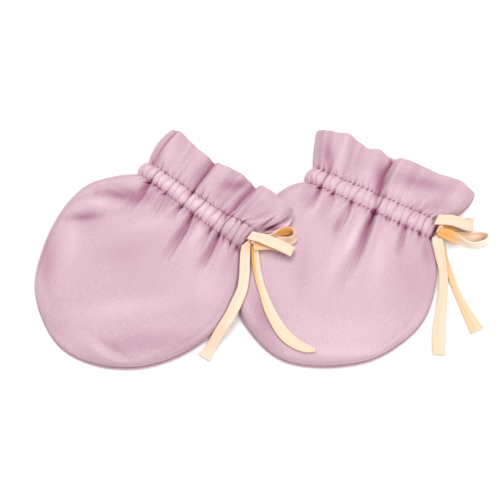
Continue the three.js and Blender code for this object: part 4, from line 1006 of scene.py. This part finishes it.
# A knot: rings about the line that its loops leave by. It is the squared ball
# |x|^p + |y|^p + |z|^p = 1, less two pleats that follow the wrap.
def knotPiece(name):
    knot, p = knots[name], wrap["power"]
    t = np.linspace(-0.99, 0.99, wrap["rings"])[:, None]
    angle = np.linspace(0, 2 * np.pi, wrap["corners"], endpoint=False)[None]
    cos, sin = np.cos(angle), np.sin(angle)
    oblong = (np.abs(cos) ** p + np.abs(sin) ** p) ** (-1 / p)
    swell = (1 - np.abs(t) ** p) ** (1 / p) * oblong
    pleat = sum(deep * bell((t - at - 0.15 * sin) / wide) for at, wide, deep in wrap["pleats"])
    swell = swell * (1 - pleat)
    local = np.stack([cos * swell * knot["long"], t * knot["wide"] * np.ones_like(angle),
                      sin * swell * knot["high"]], axis=-1)
    turn = math.radians(knot["turn"])
    x = knot["place"][0] + (local[..., 0] * math.cos(turn) - local[..., 1] * math.sin(turn)) * mm
    y = knot["place"][1] + (local[..., 0] * math.sin(turn) + local[..., 1] * math.cos(turn)) * mm
    rings = np.stack([x, y, knot["place"][2] + local[..., 2] * mm], axis=-1)
    # painted shade: warm orange in the pleats, towards one end and on the underside
    paintedWarmth = 2 * pleat + 0.3 * ease(-1.5 * cos - 0.3) + 0.3 * ease(-2 * sin)
    paintedWarmth = np.clip(paintedWarmth, 0, 1) * np.ones_like(x)
    around, lengthwise = angle * knot["long"] * np.ones_like(t), t * knot["wide"] * np.ones_like(angle)
    flat = np.stack([lengthwise, around, 0 * x], axis=-1)
    marks = {"cloth": flat[None], "paintedWarmth": paintedWarmth[None, ..., None]}
    return tubes(name + "_satin", rings[None], ribbonSatin, marks)


for name in (*knots, *ribbons):
    piece = knotPiece(name) if name in knots else ribbonPiece(name)
    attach(piece, "root")
    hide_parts(name)
print("drawstrings made")

for mitten in (leftMitten, rightMitten):
    name = mitten["name"]
    front, back = frontPanel(mitten), backPanel(mitten)
    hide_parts(name + "_front")
    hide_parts(name + "_back")
    rows = {"front": stitchRows(mitten, "front"), "back": stitchRows(mitten, "back")}
    for piece in (front, back, *rows.values()):
        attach(piece, "root")
    print(name, "mitten made")

# Floor and light
stageLook = {
    "pale": (0.9, 0.9, 0.9), "paler": (0.915, 0.915, 0.915), "rough": 0.75, "grainScale": 6,
    "reach": 3, "world": (1, 1, 1), "worldStrength": 0.62,
}
lamps = (  # name, place, size, watts, colour
    ("key", (-0.42, 0.95, 2.0), 1.9, 35, (1, 0.99, 0.98)),
    ("fill", (0.8, -0.55, 1.1), 0.8, 9, (1, 0.98, 0.97)),
)
reach = stageLook["reach"]
corners = reach * np.array([(-1, -1, 0), (1, -1, 0), (1, 1, 0), (-1, 1, 0)], float)
floorPaint, floorWire = startMaterial("floor paint")
floorPlace = floorWire.node("ShaderNodeTexCoord", {}, {}, "Object")
grain = noise(floorWire, floorPlace, stageLook["grainScale"])
floorLook = {"bump": 0, "bumpDeep": 0.0001, "gloss": 0.2, "sheen": 0, "sheenTint": (1, 1, 1)}
floorColour = grain.mix((*stageLook["pale"], 1), (*stageLook["paler"], 1))
closeMaterial(floorWire, floorColour, stageLook["rough"], grain, floorLook)
floor = meshObject("floor", corners, np.array([[0, 1, 2, 3]]), np.zeros((0, 3), int), floorPaint, {})
for name, place, size, watts, colour in lamps:
    light = bpy.data.lights.new(name, "AREA")
    light.shape, light.size, light.energy, light.color = "DISK", size, watts, colour
    lamp = bpy.data.objects.new(name, light)
    lamp.location = place
    lamp.rotation_euler = (-lamp.location).to_track_quat("-Z", "Y").to_euler()
    bpy.context.collection.objects.link(lamp)
world = bpy.data.worlds.new("studio")
world.use_nodes = True
background = world.node_tree.nodes["Background"].inputs
background["Color"].default_value = (*stageLook["world"], 1)
background["Strength"].default_value = stageLook["worldStrength"]
bpy.context.scene.world = world
bpy.context.scene.view_settings.view_transform = "Standard"
print("stage lit")
